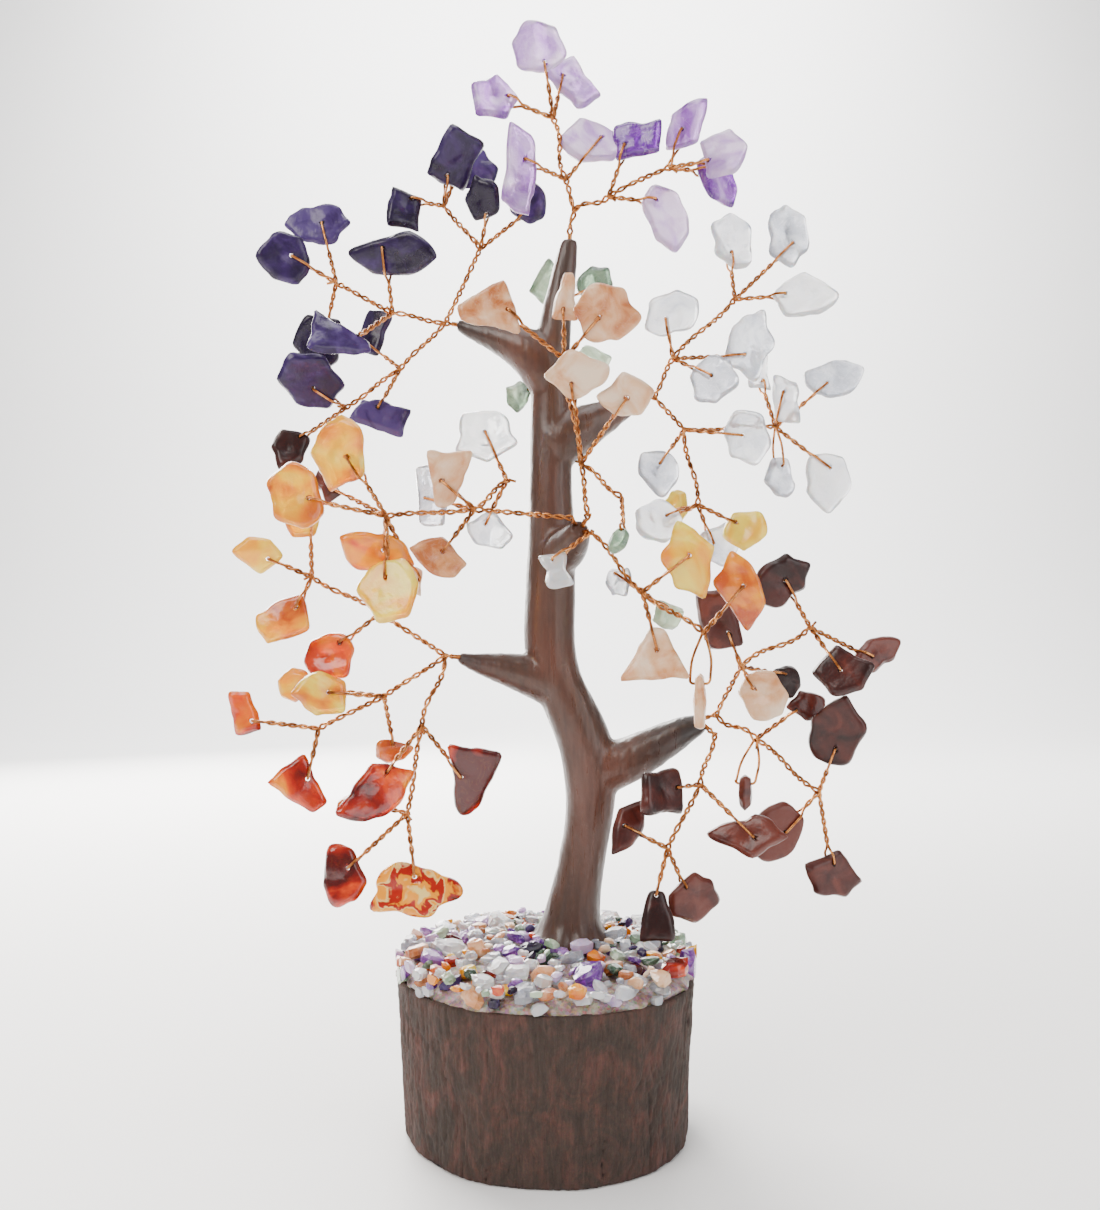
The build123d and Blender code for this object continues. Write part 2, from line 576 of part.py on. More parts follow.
def lower_right():
    """Dark red jasper at the lower right."""
    spray = Spray("lower_right")
    tip = spray.tip
    high = spray.branch(tip, (6, -7, 12))
    high_far = spray.branch(high, (23, -3, 21))
    low = spray.branch(tip, (10, -4, -5))
    low_far = spray.branch(low, (26, 1, -18))
    spray.stone("jasper", SLAB, high, (3, -8, 20), 15, 9, 110, (0.26, -0.12))
    spray.stone("jasper", PEBBLE, high_far, (16, -6, 32), 15, 11, 25, (0.52, -0.02))
    spray.stone("jasper", LEAF, high_far, (38, 1, 14), 14, 8, 20, (0.31, 0))
    spray.stone("jasper", LEAF, high_far, (29, -7, 11), 14, 12, 0, (0.46, 0))
    spray.stone("jasper", PEBBLE, high, (17, 1, 10), 11, 8, -10, (0.33, 0.17))
    spray.stone("peach", PEBBLE, high, (9, -9, 7), 12, 11, -60, (0.30, -0.09))
    spray.stone("jasper", LEAF, low, (20, 1, 1), 11, 8, 15, (0.14, -0.08))
    spray.stone("jasper", SHIELD, low_far, (29, -3, -7), 17, 13, 75, (0.24, -0.05))
    spray.stone("jasper", PEBBLE, low_far, (17, -1, -27), 15, 13, 190, (0.38, 0.01))
    spray.stone("jasper", LEAF, low_far, (29, 2, -35), 16, 12, -20, (0.40, 0.19))
    spray.hanging_stone("jasper_drop", DROP, low, (7, -7, -15), 8, 6.5, 2, 75)
    return spray


def under_right():
    """Dark red jasper that hangs below the lower right limb."""
    spray = Spray("under_right")
    tip = spray.tip
    mid = spray.branch(tip, (-3, -5, -12))
    low = spray.branch(mid, (-11, -9, -26))
    spray.stone("jasper", SLAB, mid, (-10, -11, -12), 13, 11, 190, (0.19, -0.05))
    spray.stone("jasper", KITE, mid, (8, -13, -23), 18, 10, 175, (0.40, 0.05))
    spray.stone("jasper", BLADE, low, (-21, -9, -21), 14, 7, -110, (0.51, -0.17))
    spray.stone("jasper", FAN, low, (-14, -12, -36), 11, 8, -90, (0.10, -0.03))
    spray.stone("jasper", PEBBLE, low, (-7, -6, -35), 13, 11, -30, (0.18, 0.16))
    return spray


def back():
    """Grey-green aventurine behind the trunk."""
    spray = Spray("back")
    tip = spray.tip
    mid = spray.branch(tip, (-3, 6, 11))
    high = spray.branch(mid, (1, 12, 36))
    spray.stone("aventurine", SLAB, high, (-2, 8, 38), 11, 8, 80, (0.40, -0.16))
    spray.stone("aventurine", PEBBLE, high, (8, 10, 38), 10, 9, 40, (0.22, 0.01))
    spray.stone("aventurine", LEAF, mid, (6, 8, 17), 12, 9, 10, (0.26, -0.18))
    spray.stone("aventurine", PEBBLE, mid, (-8, 2, 10), 9, 7, -160, (0.24, -0.08))
    return spray


SPRAYS = (crown, upper_left, front_left, lower_left, upper_right, centre, front_right, lower_right,
          under_right, back)

# ---- Glue bed and gravel ---------------------------------------------------------------------------------

GRAVEL_KINDS = ("quartz", "amethyst", "sodalite", "citrine", "carnelian", "peach", "aventurine")
GRAVEL_OUTLINES = (PEBBLE, LEAF, SHIELD, SLAB)


def bed_height(distance):
    """The bed's height above the log at a distance from the middle."""
    edge = LOG_TOP_RADIUS - BARK_THICKNESS - BED_INSET
    return BED_RIM + (BED_CROWN - BED_RIM) * (1 - (distance / edge) ** 2)


def bed_blank():
    """A low mound of glue and grit on the bare wood."""
    edge = LOG_TOP_RADIUS - BARK_THICKNESS - BED_INSET
    dome = ThreePointArc((0, bed_height(0)), (edge / 2, bed_height(edge / 2)), (edge, BED_RIM))
    sides = Polyline((edge, BED_RIM), (edge, 0), (0, 0), (0, bed_height(0)))
    profile = Plane.XZ * make_face(dome + sides)
    return Pos(0, 0, LOG_HEIGHT) * revolve(profile, Axis.Z)


def gravel():
    """Tumbled chips in rings, each pressed a little into the glue."""
    chips = {kind: [] for kind in GRAVEL_KINDS}
    step = GRAVEL_SIZE + GRAVEL_GAP
    distance = LOG_TOP_RADIUS - GRAVEL_BORDER
    count = 0
    foot = trunk_point(0)
    foot_room = TRUNK_STATIONS[0][2] + GRAVEL_SIZE / 2 + GRAVEL_GAP / 2
    while distance > step:
        around = int(2 * pi * distance / step)
        for index in range(around):
            count += 1
            angle = 360 * (index + GRAVEL_DRIFT * uneven(count, 0)) / around
            x = distance * cos(radians(angle))
            y = distance * sin(radians(angle))
            if hypot(x - foot.X, y - foot.Y) < foot_room:
                continue
            length = GRAVEL_SIZE * (1 - GRAVEL_SPREAD + GRAVEL_SPREAD * uneven(count, 1))
            width = length * (GRAVEL_ASPECT + GRAVEL_SPREAD * uneven(count, 2))
            corners = chip_outline(GRAVEL_OUTLINES[count % len(GRAVEL_OUTLINES)], length, width, (0.5, 0))
            height = LOG_HEIGHT + bed_height(distance) + GRAVEL_THICKNESS / 2 - GRAVEL_SINK
            lean = Rot(GRAVEL_LEAN * uneven(count, 3), GRAVEL_LEAN * uneven(count, 4), GRAVEL_TURN * count)
            kind = GRAVEL_KINDS[count % len(GRAVEL_KINDS)]
            chips[kind].append(Pos(x, y, height) * lean * chip_blank(corners, GRAVEL_THICKNESS))
        distance -= step
    return chips


# ---- The whole tree --------------------------------------------------------------------------------------


def main():
    os.makedirs("parts", exist_ok=True)
    clay = clay_form()
    bundle = wire_bundle()
    chips = gravel()
    bed = less(bed_blank() - clay, [chip for kind in chips.values() for chip in kind])
    save(wood_core(), "wood_core")
    save(bark_ring(), "bark_ring")
    save(bed, "glue_bed")
    save(clay - bundle, "clay_trunk")
    save(bundle, "wire_bundle")
    for kind, stones in chips.items():
        save(group(stones), f"gravel_{kind}")
    for build in SPRAYS:
        build().save()


main()
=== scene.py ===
import itertools
import json
import math

import bpy
import numpy as np
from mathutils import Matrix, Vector

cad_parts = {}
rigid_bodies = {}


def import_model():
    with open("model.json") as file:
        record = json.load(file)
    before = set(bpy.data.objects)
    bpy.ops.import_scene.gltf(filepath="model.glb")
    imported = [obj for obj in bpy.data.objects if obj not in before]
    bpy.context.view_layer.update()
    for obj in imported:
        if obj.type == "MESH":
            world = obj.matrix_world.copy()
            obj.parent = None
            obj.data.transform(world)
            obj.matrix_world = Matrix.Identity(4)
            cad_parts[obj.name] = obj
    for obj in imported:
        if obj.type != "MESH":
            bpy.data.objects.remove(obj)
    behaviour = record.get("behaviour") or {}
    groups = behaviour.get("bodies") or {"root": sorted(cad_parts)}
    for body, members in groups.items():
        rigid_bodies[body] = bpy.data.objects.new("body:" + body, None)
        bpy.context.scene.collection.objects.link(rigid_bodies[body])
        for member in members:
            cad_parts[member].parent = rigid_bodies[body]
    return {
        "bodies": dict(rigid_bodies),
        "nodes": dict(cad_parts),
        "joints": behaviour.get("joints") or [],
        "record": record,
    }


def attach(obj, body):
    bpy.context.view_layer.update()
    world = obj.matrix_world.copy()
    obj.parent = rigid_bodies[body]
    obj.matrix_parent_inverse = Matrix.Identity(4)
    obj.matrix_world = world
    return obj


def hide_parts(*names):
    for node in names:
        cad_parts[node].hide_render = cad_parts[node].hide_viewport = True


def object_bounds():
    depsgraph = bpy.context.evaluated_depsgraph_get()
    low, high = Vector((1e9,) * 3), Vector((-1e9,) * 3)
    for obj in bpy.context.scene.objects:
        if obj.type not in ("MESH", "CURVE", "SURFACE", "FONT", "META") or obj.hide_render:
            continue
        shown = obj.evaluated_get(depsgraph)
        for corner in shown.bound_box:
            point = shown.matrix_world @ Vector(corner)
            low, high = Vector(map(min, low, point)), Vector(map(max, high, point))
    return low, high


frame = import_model()
box_of_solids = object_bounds()
nodes = frame["nodes"]

# ---- Bark ------------------------------------------------------------------------------------------------
# The bark goes round the log in one piece, with cracks that run up it and ragged edges at both ends.
# It is a grid round the log by height. Sizes here and below are in millimetres.

MM = 0.001
LOG_HEIGHT = 37.0
LOG_TOP_RADIUS = 35.0
LOG_FOOT_RADIUS = 32.8
BARK_THICKNESS = 2.8
LOG_WAVES = ((2, 0.018, 0.6), (3, 0.012, 2.1), (5, 0.006, 4.0))
DEEPEST_CRACK = 2.0


def noise(points, seed):
    """Smooth noise from -1 to 1: n(p) = sum over the 8 lattice corners of hash(corner) * weight(p)."""
    cell = np.floor(points).astype(np.int64)
    part = points - cell
    blend = part * part * (3 - 2 * part)
    total = np.zeros(len(points))
    for corner in itertools.product((0, 1), repeat=3):
        code = (cell + corner) @ np.array([73856093, 19349663, 83492791]) + seed * 9973
        code = (code ^ (code >> 13)) * 1274126177 & 0x7FFFFFFF
        code = (code ^ (code >> 15)) * 40503 & 0x7FFFFFFF
        weight = np.prod(np.where(corner, blend, 1 - blend), axis=1)
        total += weight * ((code >> 7 & 0xFFFF) / 32767.5 - 1)
    return total


def rough(points, seed, octaves=4):
    """Layered noise: f(p) = sum of n(2^k p) / 2^k."""
    return sum(noise(points * 2.0 ** k, seed + k) / 2.0 ** k for k in range(octaves))


def outline(angle):
    """The log's outline as a share of its radius: f(a) = 1 + sum of share * cos(lobes a + phase)."""
    return 1 + sum(share * np.cos(lobes * angle + phase) for lobes, share, phase in LOG_WAVES)


def grid_faces(rows, columns, first=0):
    """Quads of a grid that closes on itself along its columns."""
    at = first + np.arange(rows)[:, None] * columns + np.arange(columns)
    right = np.roll(at, -1, axis=1)
    return np.stack([at[:-1], right[:-1], right[1:], at[1:]], axis=-1).reshape(-1, 4)


def fans(ring, tip, flip):
    """Triangles that close a ring of vertices on one more vertex."""
    after = np.roll(ring, -1)
    pair = (after, ring) if flip else (ring, after)
    return np.stack([*pair, np.full(len(ring), tip)], axis=-1)


def put(name, data):
    """An object that holds a mesh, a light or a camera, in the scene."""
    made = bpy.data.objects.new(name, data)
    bpy.context.scene.collection.objects.link(made)
    return made


def bare_mesh(name, vertices, quads, triangles, smooth=True):
    """Mesh data from arrays in millimetres."""
    mesh = bpy.data.meshes.new(name)
    mesh.vertices.add(len(vertices))
    mesh.vertices.foreach_set("co", (np.asarray(vertices) * MM).ravel())
    corners = np.concatenate([np.ravel(quads), np.ravel(triangles)]).astype(np.int32)
    sizes = np.repeat([4, 3], [len(quads), len(triangles)]).astype(np.int32)
    mesh.loops.add(len(corners))
    mesh.loops.foreach_set("vertex_index", corners)
    mesh.polygons.add(len(sizes))
    mesh.polygons.foreach_set("loop_start", (np.cumsum(sizes) - sizes).astype(np.int32))
    mesh.polygons.foreach_set("use_smooth", np.full(len(sizes), smooth))
    mesh.update(calc_edges=True)
    return mesh


def make_mesh(name, vertices, quads, triangles, body, attributes=None, smooth=True):
    """A piece from arrays in millimetres, on its body, with attributes on its vertices."""
    piece = put(name, bare_mesh(name, vertices, quads, triangles, smooth))
    for key, values in (attributes or {}).items():
        values = np.asarray(values, dtype=np.float32)
        piece.data.attributes.new(key, "FLOAT", "POINT").data.foreach_set("value", values)
    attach(piece, body)
    return piece


def bark_surface():
    """Rings from the inside of the top edge, over it, down the side and back in under the foot."""
    columns, rows = 560, 130
    angle = np.arange(columns) * 2 * math.pi / columns
    down = np.linspace(0, 1, rows)
    height = LOG_HEIGHT * (1 - down)[:, None] * np.ones(columns)
    base = (LOG_FOOT_RADIUS + (LOG_TOP_RADIUS - LOG_FOOT_RADIUS) * height / LOG_HEIGHT) * outline(angle)
    place = np.stack([base * np.cos(angle), base * np.sin(angle), height], axis=-1).reshape(-1, 3)
    wander = 1.6 * noise(place * 0.16, 3)[:, None] * np.array([1, 1, 0])
    plates = rough((place + wander) * np.array([0.15, 0.15, 0.06]), 20, 3)
    ridges = 1 - np.abs(noise((place + wander) * np.array([0.55, 0.55, 0.09]), 31)) * 3.2
    fine = rough(place * np.array([1.5, 1.5, 0.5]), 40, 3)
    splits = 1 - np.abs(noise((place + 0.5 * wander) * np.array([0.2, 0.2, 0.012]), 35)) / 0.04
    splits = np.clip(splits, 0, 1) * np.clip(0.3 + 1.5 * noise(place * np.array([0.1, 0.1, 0.07]), 36), 0, 1)
    depth = 0.45 - 0.40 * plates + 0.28 * np.clip(ridges, 0, 1) ** 2 + 0.16 * (1 - fine)
    depth = np.clip((depth + 0.7 * splits).reshape(rows, columns), 0, DEEPEST_CRACK)
    edge = np.clip(np.minimum(down, 1 - down)[:, None] / 0.02, 0, 1) ** 0.5
    side = base - depth - 0.7 * (1 - edge)
    chipped = 0.35 + 0.45 * noise(place.reshape(rows, columns, 3)[0] * 0.35, 50)
    lip = [(base[0] - BARK_THICKNESS, -0.9), (base[0] - 2.2, -chipped), (base[0] - 1.2, -0.3 * chipped)]
    sole = [(base[-1] - 1.4, 0.0), (base[-1] - BARK_THICKNESS, 0.0)]
    radius = np.concatenate([[r for r, _ in lip], side, [r for r, _ in sole]])
    level = np.concatenate([[LOG_HEIGHT + z + 0 * angle for _, z in lip], height, [0 * angle, 0 * angle]])
    level[len(lip)] -= 0.15
    vertices = np.stack([radius * np.cos(angle), radius * np.sin(angle), level], axis=-1).reshape(-1, 3)
    # Crack depth on each vertex, which the bark's shader uses to paint shade into the cracks.
    tone = np.pad(depth / DEEPEST_CRACK, ((len(lip), len(sole)), (0, 0)), mode="edge").ravel()
    faces = grid_faces(len(radius), columns)[:, ::-1]
    closing = np.stack([np.arange(columns), np.roll(np.arange(columns), -1)], axis=-1)
    closing = np.concatenate([closing, closing[:, ::-1] + (len(radius) - 1) * columns], axis=1)
    piece = make_mesh("bark", vertices, np.concatenate([faces, closing]), (), "tree", {"depth": tone})
    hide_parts("bark_ring")
    return piece


bark = bark_surface()


def new_material(name):
    """A new material, its node tree and its Principled shader."""
    material = bpy.data.materials.new(name)
    material.use_nodes = True
    tree = material.node_tree
    return material, tree, tree.nodes["Principled BSDF"]


def fill(tree, made, inputs):
    """Values set on a node's inputs and sockets linked to them, by input name or place."""
    for key, value in inputs.items():
        socket = made.inputs[key]
        if isinstance(value, bpy.types.NodeSocket):
            tree.links.new(value, socket)
        else:
            socket.default_value = value


def node(tree, kind, inputs=None, **settings):
    """One shader node with its settings and inputs."""
    made = tree.nodes.new(kind)
    for key, value in settings.items():
        setattr(made, key, value)
    fill(tree, made, inputs or {})
    return made


def maths(tree, operation, *values, kind="ShaderNodeMath"):
    """One step of arithmetic on values or sockets."""
    return node(tree, kind, dict(enumerate(values)), operation=operation).outputs[0]


def rescale(tree, value, low, high, to_low=0.0, to_high=1.0):
    """A value carried from one range to another and held at its ends."""
    return node(tree, "ShaderNodeMapRange", {"Value": value, "From Min": low, "From Max": high,
                                             "To Min": to_low, "To Max": to_high}).outputs["Result"]


def attribute(tree, name):
    """A number on the piece's vertices."""
    return node(tree, "ShaderNodeAttribute", attribute_name=name).outputs["Fac"]


def speckle(tree, where, scale, detail, roughness=0.5, distortion=0.0):
    """Layered noise through the piece, as a number and as a colour."""
    return node(tree, "ShaderNodeTexNoise", {"Vector": where, "Scale": scale, "Detail": detail,
                                             "Roughness": roughness, "Distortion": distortion}).outputs


def ramp(tree, factor, stops):
    """A colour ramp through (place, colour) stops."""
    made = node(tree, "ShaderNodeValToRGB", {"Fac": factor})
    elements = made.color_ramp.elements
    while len(elements) < len(stops):
        elements.new(0.5)
    for element, (place, colour) in zip(elements, stops):
        element.position = place
        element.color = (*colour, 1)
    return made.outputs["Color"]


def mix(tree, factor, first, second, blend_type="MIX"):
    """Two colours mixed by a factor."""
    first, second = ((*colour, 1) if isinstance(colour, tuple) else colour for colour in (first, second))
    return node(tree, "ShaderNodeMix", {0: factor, 6: first, 7: second}, data_type="RGBA",
                blend_type=blend_type).outputs[2]


def relief(tree, shader, height, strength, distance):
    """Fine relief in the shader's normal. The distance is in metres, as the shader takes it."""
    bump = node(tree, "ShaderNodeBump", {"Height": height, "Strength": strength, "Distance": distance})
    tree.links.new(bump.outputs["Normal"], shader.inputs["Normal"])


def place_scaled(tree, scale):
    """Object coordinates, scaled along each axis."""
    where = node(tree, "ShaderNodeTexCoord").outputs["Object"]
    return node(tree, "ShaderNodeMapping", {"Vector": where, "Scale": scale}).outputs["Vector"]


def bark_material():
    """Dark olive-brown bark with red-brown patches and fine upright fibres, streaked darker and paler along
    them with a painted grey-mauve sheen, and painted shade deep in its cracks.
    """
    material, tree, shader = new_material("bark")
    patches = speckle(tree, place_scaled(tree, (150, 150, 85)), 1.0, 7.0, 0.68, 0.9)
    fibres = speckle(tree, place_scaled(tree, (1150, 1150, 150)), 1.0, 5.0, 0.72, 0.7)
    grain = speckle(tree, place_scaled(tree, (3000, 3000, 1500)), 1.0, 3.0, 0.7)
    ground = ramp(tree, patches["Fac"], [
        (0.34, (0.036, 0.024, 0.018)), (0.46, (0.048, 0.030, 0.023)), (0.55, (0.066, 0.033, 0.025)),
        (0.64, (0.090, 0.038, 0.030)), (0.78, (0.088, 0.060, 0.054))])
    # Fibre streaks that darken and lighten the bark; their pale grey-mauve is a painted sheen.
    painted_sheen = ramp(tree, fibres["Fac"], [(0.36, (0.66, 0.64, 0.61)), (0.52, (0.97, 0.95, 0.93)),
                                      (0.68, (1.32, 1.22, 1.19))])
    lit = mix(tree, 0.85, ground, painted_sheen, "MULTIPLY")
    # Painted shade: the bark goes nearly black in its deepest cracks.
    painted_crack_shade = rescale(tree, attribute(tree, "depth"), 0.42, 0.85)
    colour = mix(tree, painted_crack_shade, lit, (0.012, 0.008, 0.006))
    colour = mix(tree, 0.3, colour, grain["Color"], "OVERLAY")
    fill(tree, shader, {"Base Color": colour, "Roughness": 0.78, "Specular IOR Level": 0.4})
    relief(tree, shader, maths(tree, "ADD", fibres["Fac"], grain["Fac"]), 0.6, 0.0006)
    return material


bark.data.materials.append(bark_material())

# ---- Log wood --------------------------------------------------------------------------------------------
# The bare wood inside the bark, sawn flat at both ends. The glue covers its top, so only its sawn underside
# can be seen, with rings and fine fibres.


def wood_material():
    """Pale brown end grain: rings that wander round the middle, and fibres across them."""
    material, tree, shader = new_material("sawn_wood")
    where = place_scaled(tree, (1, 1, 0.1))
    bend = speckle(tree, where, 60.0, 3.0)
    moved = maths(tree, "MULTIPLY", bend["Color"], (0.006, 0.006, 0), kind="ShaderNodeVectorMath")
    moved = maths(tree, "ADD", where, moved, kind="ShaderNodeVectorMath")
    waves = {"Vector": moved, "Scale": 130.0, "Detail": 3.0, "Distortion": 1.0}
    rings = node(tree, "ShaderNodeTexWave", waves, wave_type="RINGS", rings_direction="Z")
    fibre = speckle(tree, where, 2400.0, 4.0)
    colour = ramp(tree, rings.outputs["Fac"], [(0.1, (0.36, 0.22, 0.12)), (0.7, (0.52, 0.36, 0.21))])
    colour = mix(tree, 0.3, colour, fibre["Color"], "OVERLAY")
    fill(tree, shader, {"Base Color": colour, "Roughness": 0.75})
    relief(tree, shader, fibre["Fac"], 0.3, 0.0002)
    return material


nodes["wood_core"].data.materials.clear()
nodes["wood_core"].data.materials.append(wood_material())

# ---- Glue bed --------------------------------------------------------------------------------------------
# A low mound of glue and stone grit on the sawn top. It laps over the bark in a thin ragged edge.

BED_RIM = 2.0
BED_CROWN = 4.4
BED_RADIUS = 30.6
BED_EDGE = LOG_TOP_RADIUS - 1.2
BED_UNDERSIDE = LOG_HEIGHT - 0.6


def bed_height(distance):
    """The mound's height above the log: h(d) = rim + (crown - rim) (1 - (d / radius)^2).

    Past its radius it falls away to a thin edge.
    """
    inside = BED_RIM + (BED_CROWN - BED_RIM) * (1 - (distance / BED_RADIUS) ** 2)
    fall = np.clip((distance - BED_RADIUS) / (BED_EDGE - BED_RADIUS), 0, 1)
    return np.maximum(inside, 0) * (1 - fall ** 2) + 0.35 * fall * (1 - fall)


def glue_bed():
    """Rings from the middle out to a ragged rim, then back in underneath."""
    columns, rows = 300, 60
    angle = np.arange(columns) * 2 * math.pi / columns
    share = np.linspace(0.01, 1, rows)[:, None]
    rim = np.stack([np.cos(angle), np.sin(angle), 0 * angle], axis=-1)
    ragged = (LOG_TOP_RADIUS - 1.3 + 0.55 * noise(rim * 9, 61) + 0.35 * noise(rim * 30, 62)) * outline(angle)
    distance = share * ragged
    flat = np.stack([distance * np.cos(angle), distance * np.sin(angle), 0 * distance], axis=-1)
    flat = flat.reshape(-1, 3)
    bumps = (0.28 * noise(flat * 1.1, 63) + 0.14 * noise(flat * 2.7, 64)).reshape(rows, columns)
    level = LOG_HEIGHT + bed_height(distance / outline(angle)) + bumps * np.clip((1 - share) * 12, 0.25, 1)
    top = np.stack([flat[:, 0], flat[:, 1], level.ravel()], axis=-1)
    under = top[-columns:] * np.array([0.985, 0.985, 1])
    under[:, 2] = BED_UNDERSIDE
    vertices = np.concatenate([top, under, [[0, 0, LOG_HEIGHT + bed_height(0)], [0, 0, BED_UNDERSIDE]]])
    last = len(vertices)
    closing = np.concatenate([fans(np.arange(columns), last - 2, False),
                              fans(rows * columns + np.arange(columns), last - 1, True)])
    piece = make_mesh("glue_and_grit", vertices, grid_faces(rows + 1, columns)[:, ::-1], closing[:, ::-1],
                      "tree")
    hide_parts("glue_bed")
    return piece


def grit_material():
    """Cloudy glue with sand, stone dust and sawdust in it, its colours darkened as painted shade between the
    chips.
    """
    material, tree, shader = new_material("glue_and_grit")
    where = place_scaled(tree, (1, 1, 1))
    grains = node(tree, "ShaderNodeTexVoronoi", {"Vector": where, "Scale": 1500.0}).outputs
    blotch = speckle(tree, where, 260.0, 5.0)
    # Blotches of glue and grit, kept dark as a painted shade that stands for the shadow between the chips.
    colour = ramp(tree, blotch["Fac"], [(0.35, (0.16, 0.10, 0.08)), (0.5, (0.30, 0.21, 0.18)),
                                        (0.65, (0.50, 0.41, 0.38))])
    colour = mix(tree, 0.45, colour, grains["Color"], "SOFT_LIGHT")
    fill(tree, shader, {"Base Color": colour, "Roughness": 0.42, "Subsurface Weight": 0.15,
                        "Subsurface Radius": (0.0012, 0.0009, 0.0007)})
    relief(tree, shader, grains["Distance"], 0.7, 0.0004)
    return material


bed = glue_bed()
bed.data.materials.append(grit_material())

# ---- Chip form -------------------------------------------------------------------------------------------
# Every stone, in the gravel and on the twigs, is one soft-edged many-sided form, worked out from flat
# facets round a middle point.


def soft_facets(directions, normals, distances, sharpness):
    """Radius of a many-sided form with rounded edges: r(d) = (sum of max(0, n.d / h)^p)^(-1/p)."""
    facing = np.clip(directions @ normals.T, 0, None) / distances
    return np.sum(facing ** sharpness, axis=-1) ** (-1 / sharpness)


def ball_directions(rows, columns, half_sizes):
    """Unit directions on a grid of rings, even on a ball that is squashed to the given half sizes."""
    tilt = np.linspace(-math.pi / 2, math.pi / 2, rows + 2)[1:-1, None]
    turn = np.arange(columns) * 2 * math.pi / columns
    ball = [np.cos(tilt) * np.cos(turn), np.cos(tilt) * np.sin(turn), np.sin(tilt) + 0 * turn]
    directions = np.stack(ball, axis=-1).reshape(-1, 3) * half_sizes
    directions = np.concatenate([directions, [[0, 0, -1], [0, 0, 1]]])
    return directions / np.linalg.norm(directions, axis=1, keepdims=True)


def ball_faces(rows, columns, first=0):
    """Quads and closing triangles for a grid of rings with a vertex at each pole."""
    last = first + rows * columns
    bottom = fans(first + np.arange(columns), last, True)
    top = fans(first + (rows - 1) * columns + np.arange(columns), last + 1, False)
    return grid_faces(rows, columns, first), np.concatenate([bottom, top])


def gather(shapes, columns):
    """Many closed shapes in one: their vertices, quads and triangles, and how many vertices each shape has.

    A shape is rings of so many columns, and then one vertex for each end.
    """
    counts = np.array([len(points) for points in shapes])
    faces = [ball_faces((count - 2) // columns, columns, first)
             for count, first in zip(counts, np.cumsum(counts) - counts)]
    quads, triangles = (np.concatenate(blocks) for blocks in zip(*faces))
    return np.concatenate(shapes), quads, triangles, counts


# ---- Gravel ----------------------------------------------------------------------------------------------
# Small tumbled chips of seven stones, heaped by hand on the wet glue. Each is dropped where it comes to
# rest on the bed or on the chips already there, and none reaches out past the bark.

GRAVEL_COUNT = 3800
GRAVEL_ROWS, GRAVEL_COLUMNS = 5, 9
GRAVEL_FLATS = 7
GRAVEL_SHARPNESS = 30
GRAVEL_LEAN = 0.6 * math.radians(26)
CHIP_LONG = (1.4, 3.1)
BIG_SHARE, BIG, SMALL = 0.4, 1.25, 0.78
NESTING = 0.86
HEAP_RISE = 2.8
TRUNK_FOOT = np.array([5.5, 4.0])
TRUNK_FOOT_RADIUS = 8.0
GRAVEL_EDGE = 34.7
KIND_SHARES = {"quartz": 0.38, "amethyst": 0.18, "peach": 0.14, "aventurine": 0.12, "citrine": 0.07,
               "carnelian": 0.05, "sodalite": 0.06}

rng = np.random.default_rng(11)


def heap(count):
    """Resting places: each chip, as a flat ball, sinks until it meets the bed or an earlier chip.

    Where two chips touch, one middle is nesting (t1 + t2) sqrt(1 - g^2) above the other, with t their
    thicknesses and g their distance over nesting (w1 + w2), their widths.
    """
    angle = rng.uniform(0, 2 * math.pi, count)
    distance = GRAVEL_EDGE * rng.uniform(0, 1, count) ** 0.36
    size = rng.uniform(*CHIP_LONG, count) * np.where(np.arange(count) < BIG_SHARE * count, BIG, SMALL)
    flatness = rng.uniform(0.42, 0.62, count)
    spots = np.stack([distance * np.cos(angle), distance * np.sin(angle)], axis=-1) * outline(angle)[:, None]
    placed = []
    for index in range(count):
        spot, wide, thick = spots[index], size[index], size[index] * flatness[index]
        if np.linalg.norm(spot - TRUNK_FOOT) < TRUNK_FOOT_RADIUS + 0.4 * wide:
            continue
        edge = GRAVEL_EDGE * float(outline(angle[index:index + 1])[0]) - 0.2 * wide
        spot = spot * min(1, edge / np.linalg.norm(spot))
        bed_level = bed_height(np.linalg.norm(spot))
        level = LOG_HEIGHT + bed_level + 0.55 * thick
        if placed:
            before = np.array(placed)
            gap = np.linalg.norm(before[:, :2] - spot, axis=1) / (NESTING * (before[:, 3] + wide))
            rise = np.sqrt(np.clip(1 - gap ** 2, 0, 1)) * NESTING * (before[:, 4] + thick)
            level = max(level, np.where(gap < 1, before[:, 2] + rise, 0).max())
        if level < LOG_HEIGHT + max(bed_level, BED_RIM) + HEAP_RISE:
            placed.append((*spot, level, wide, thick))
    return np.array(placed)


def tipped(yaw, roll, nod):
    """A chip's turn as a matrix: nod, then roll, then yaw."""
    turn_z = np.array([[math.cos(yaw), -math.sin(yaw), 0], [math.sin(yaw), math.cos(yaw), 0], [0, 0, 1]])
    turn_x = np.array([[1, 0, 0], [0, math.cos(roll), -math.sin(roll)], [0, math.sin(roll), math.cos(roll)]])
    turn_y = np.array([[math.cos(nod), 0, math.sin(nod)], [0, 1, 0], [-math.sin(nod), 0, math.cos(nod)]])
    return turn_z @ turn_x @ turn_y


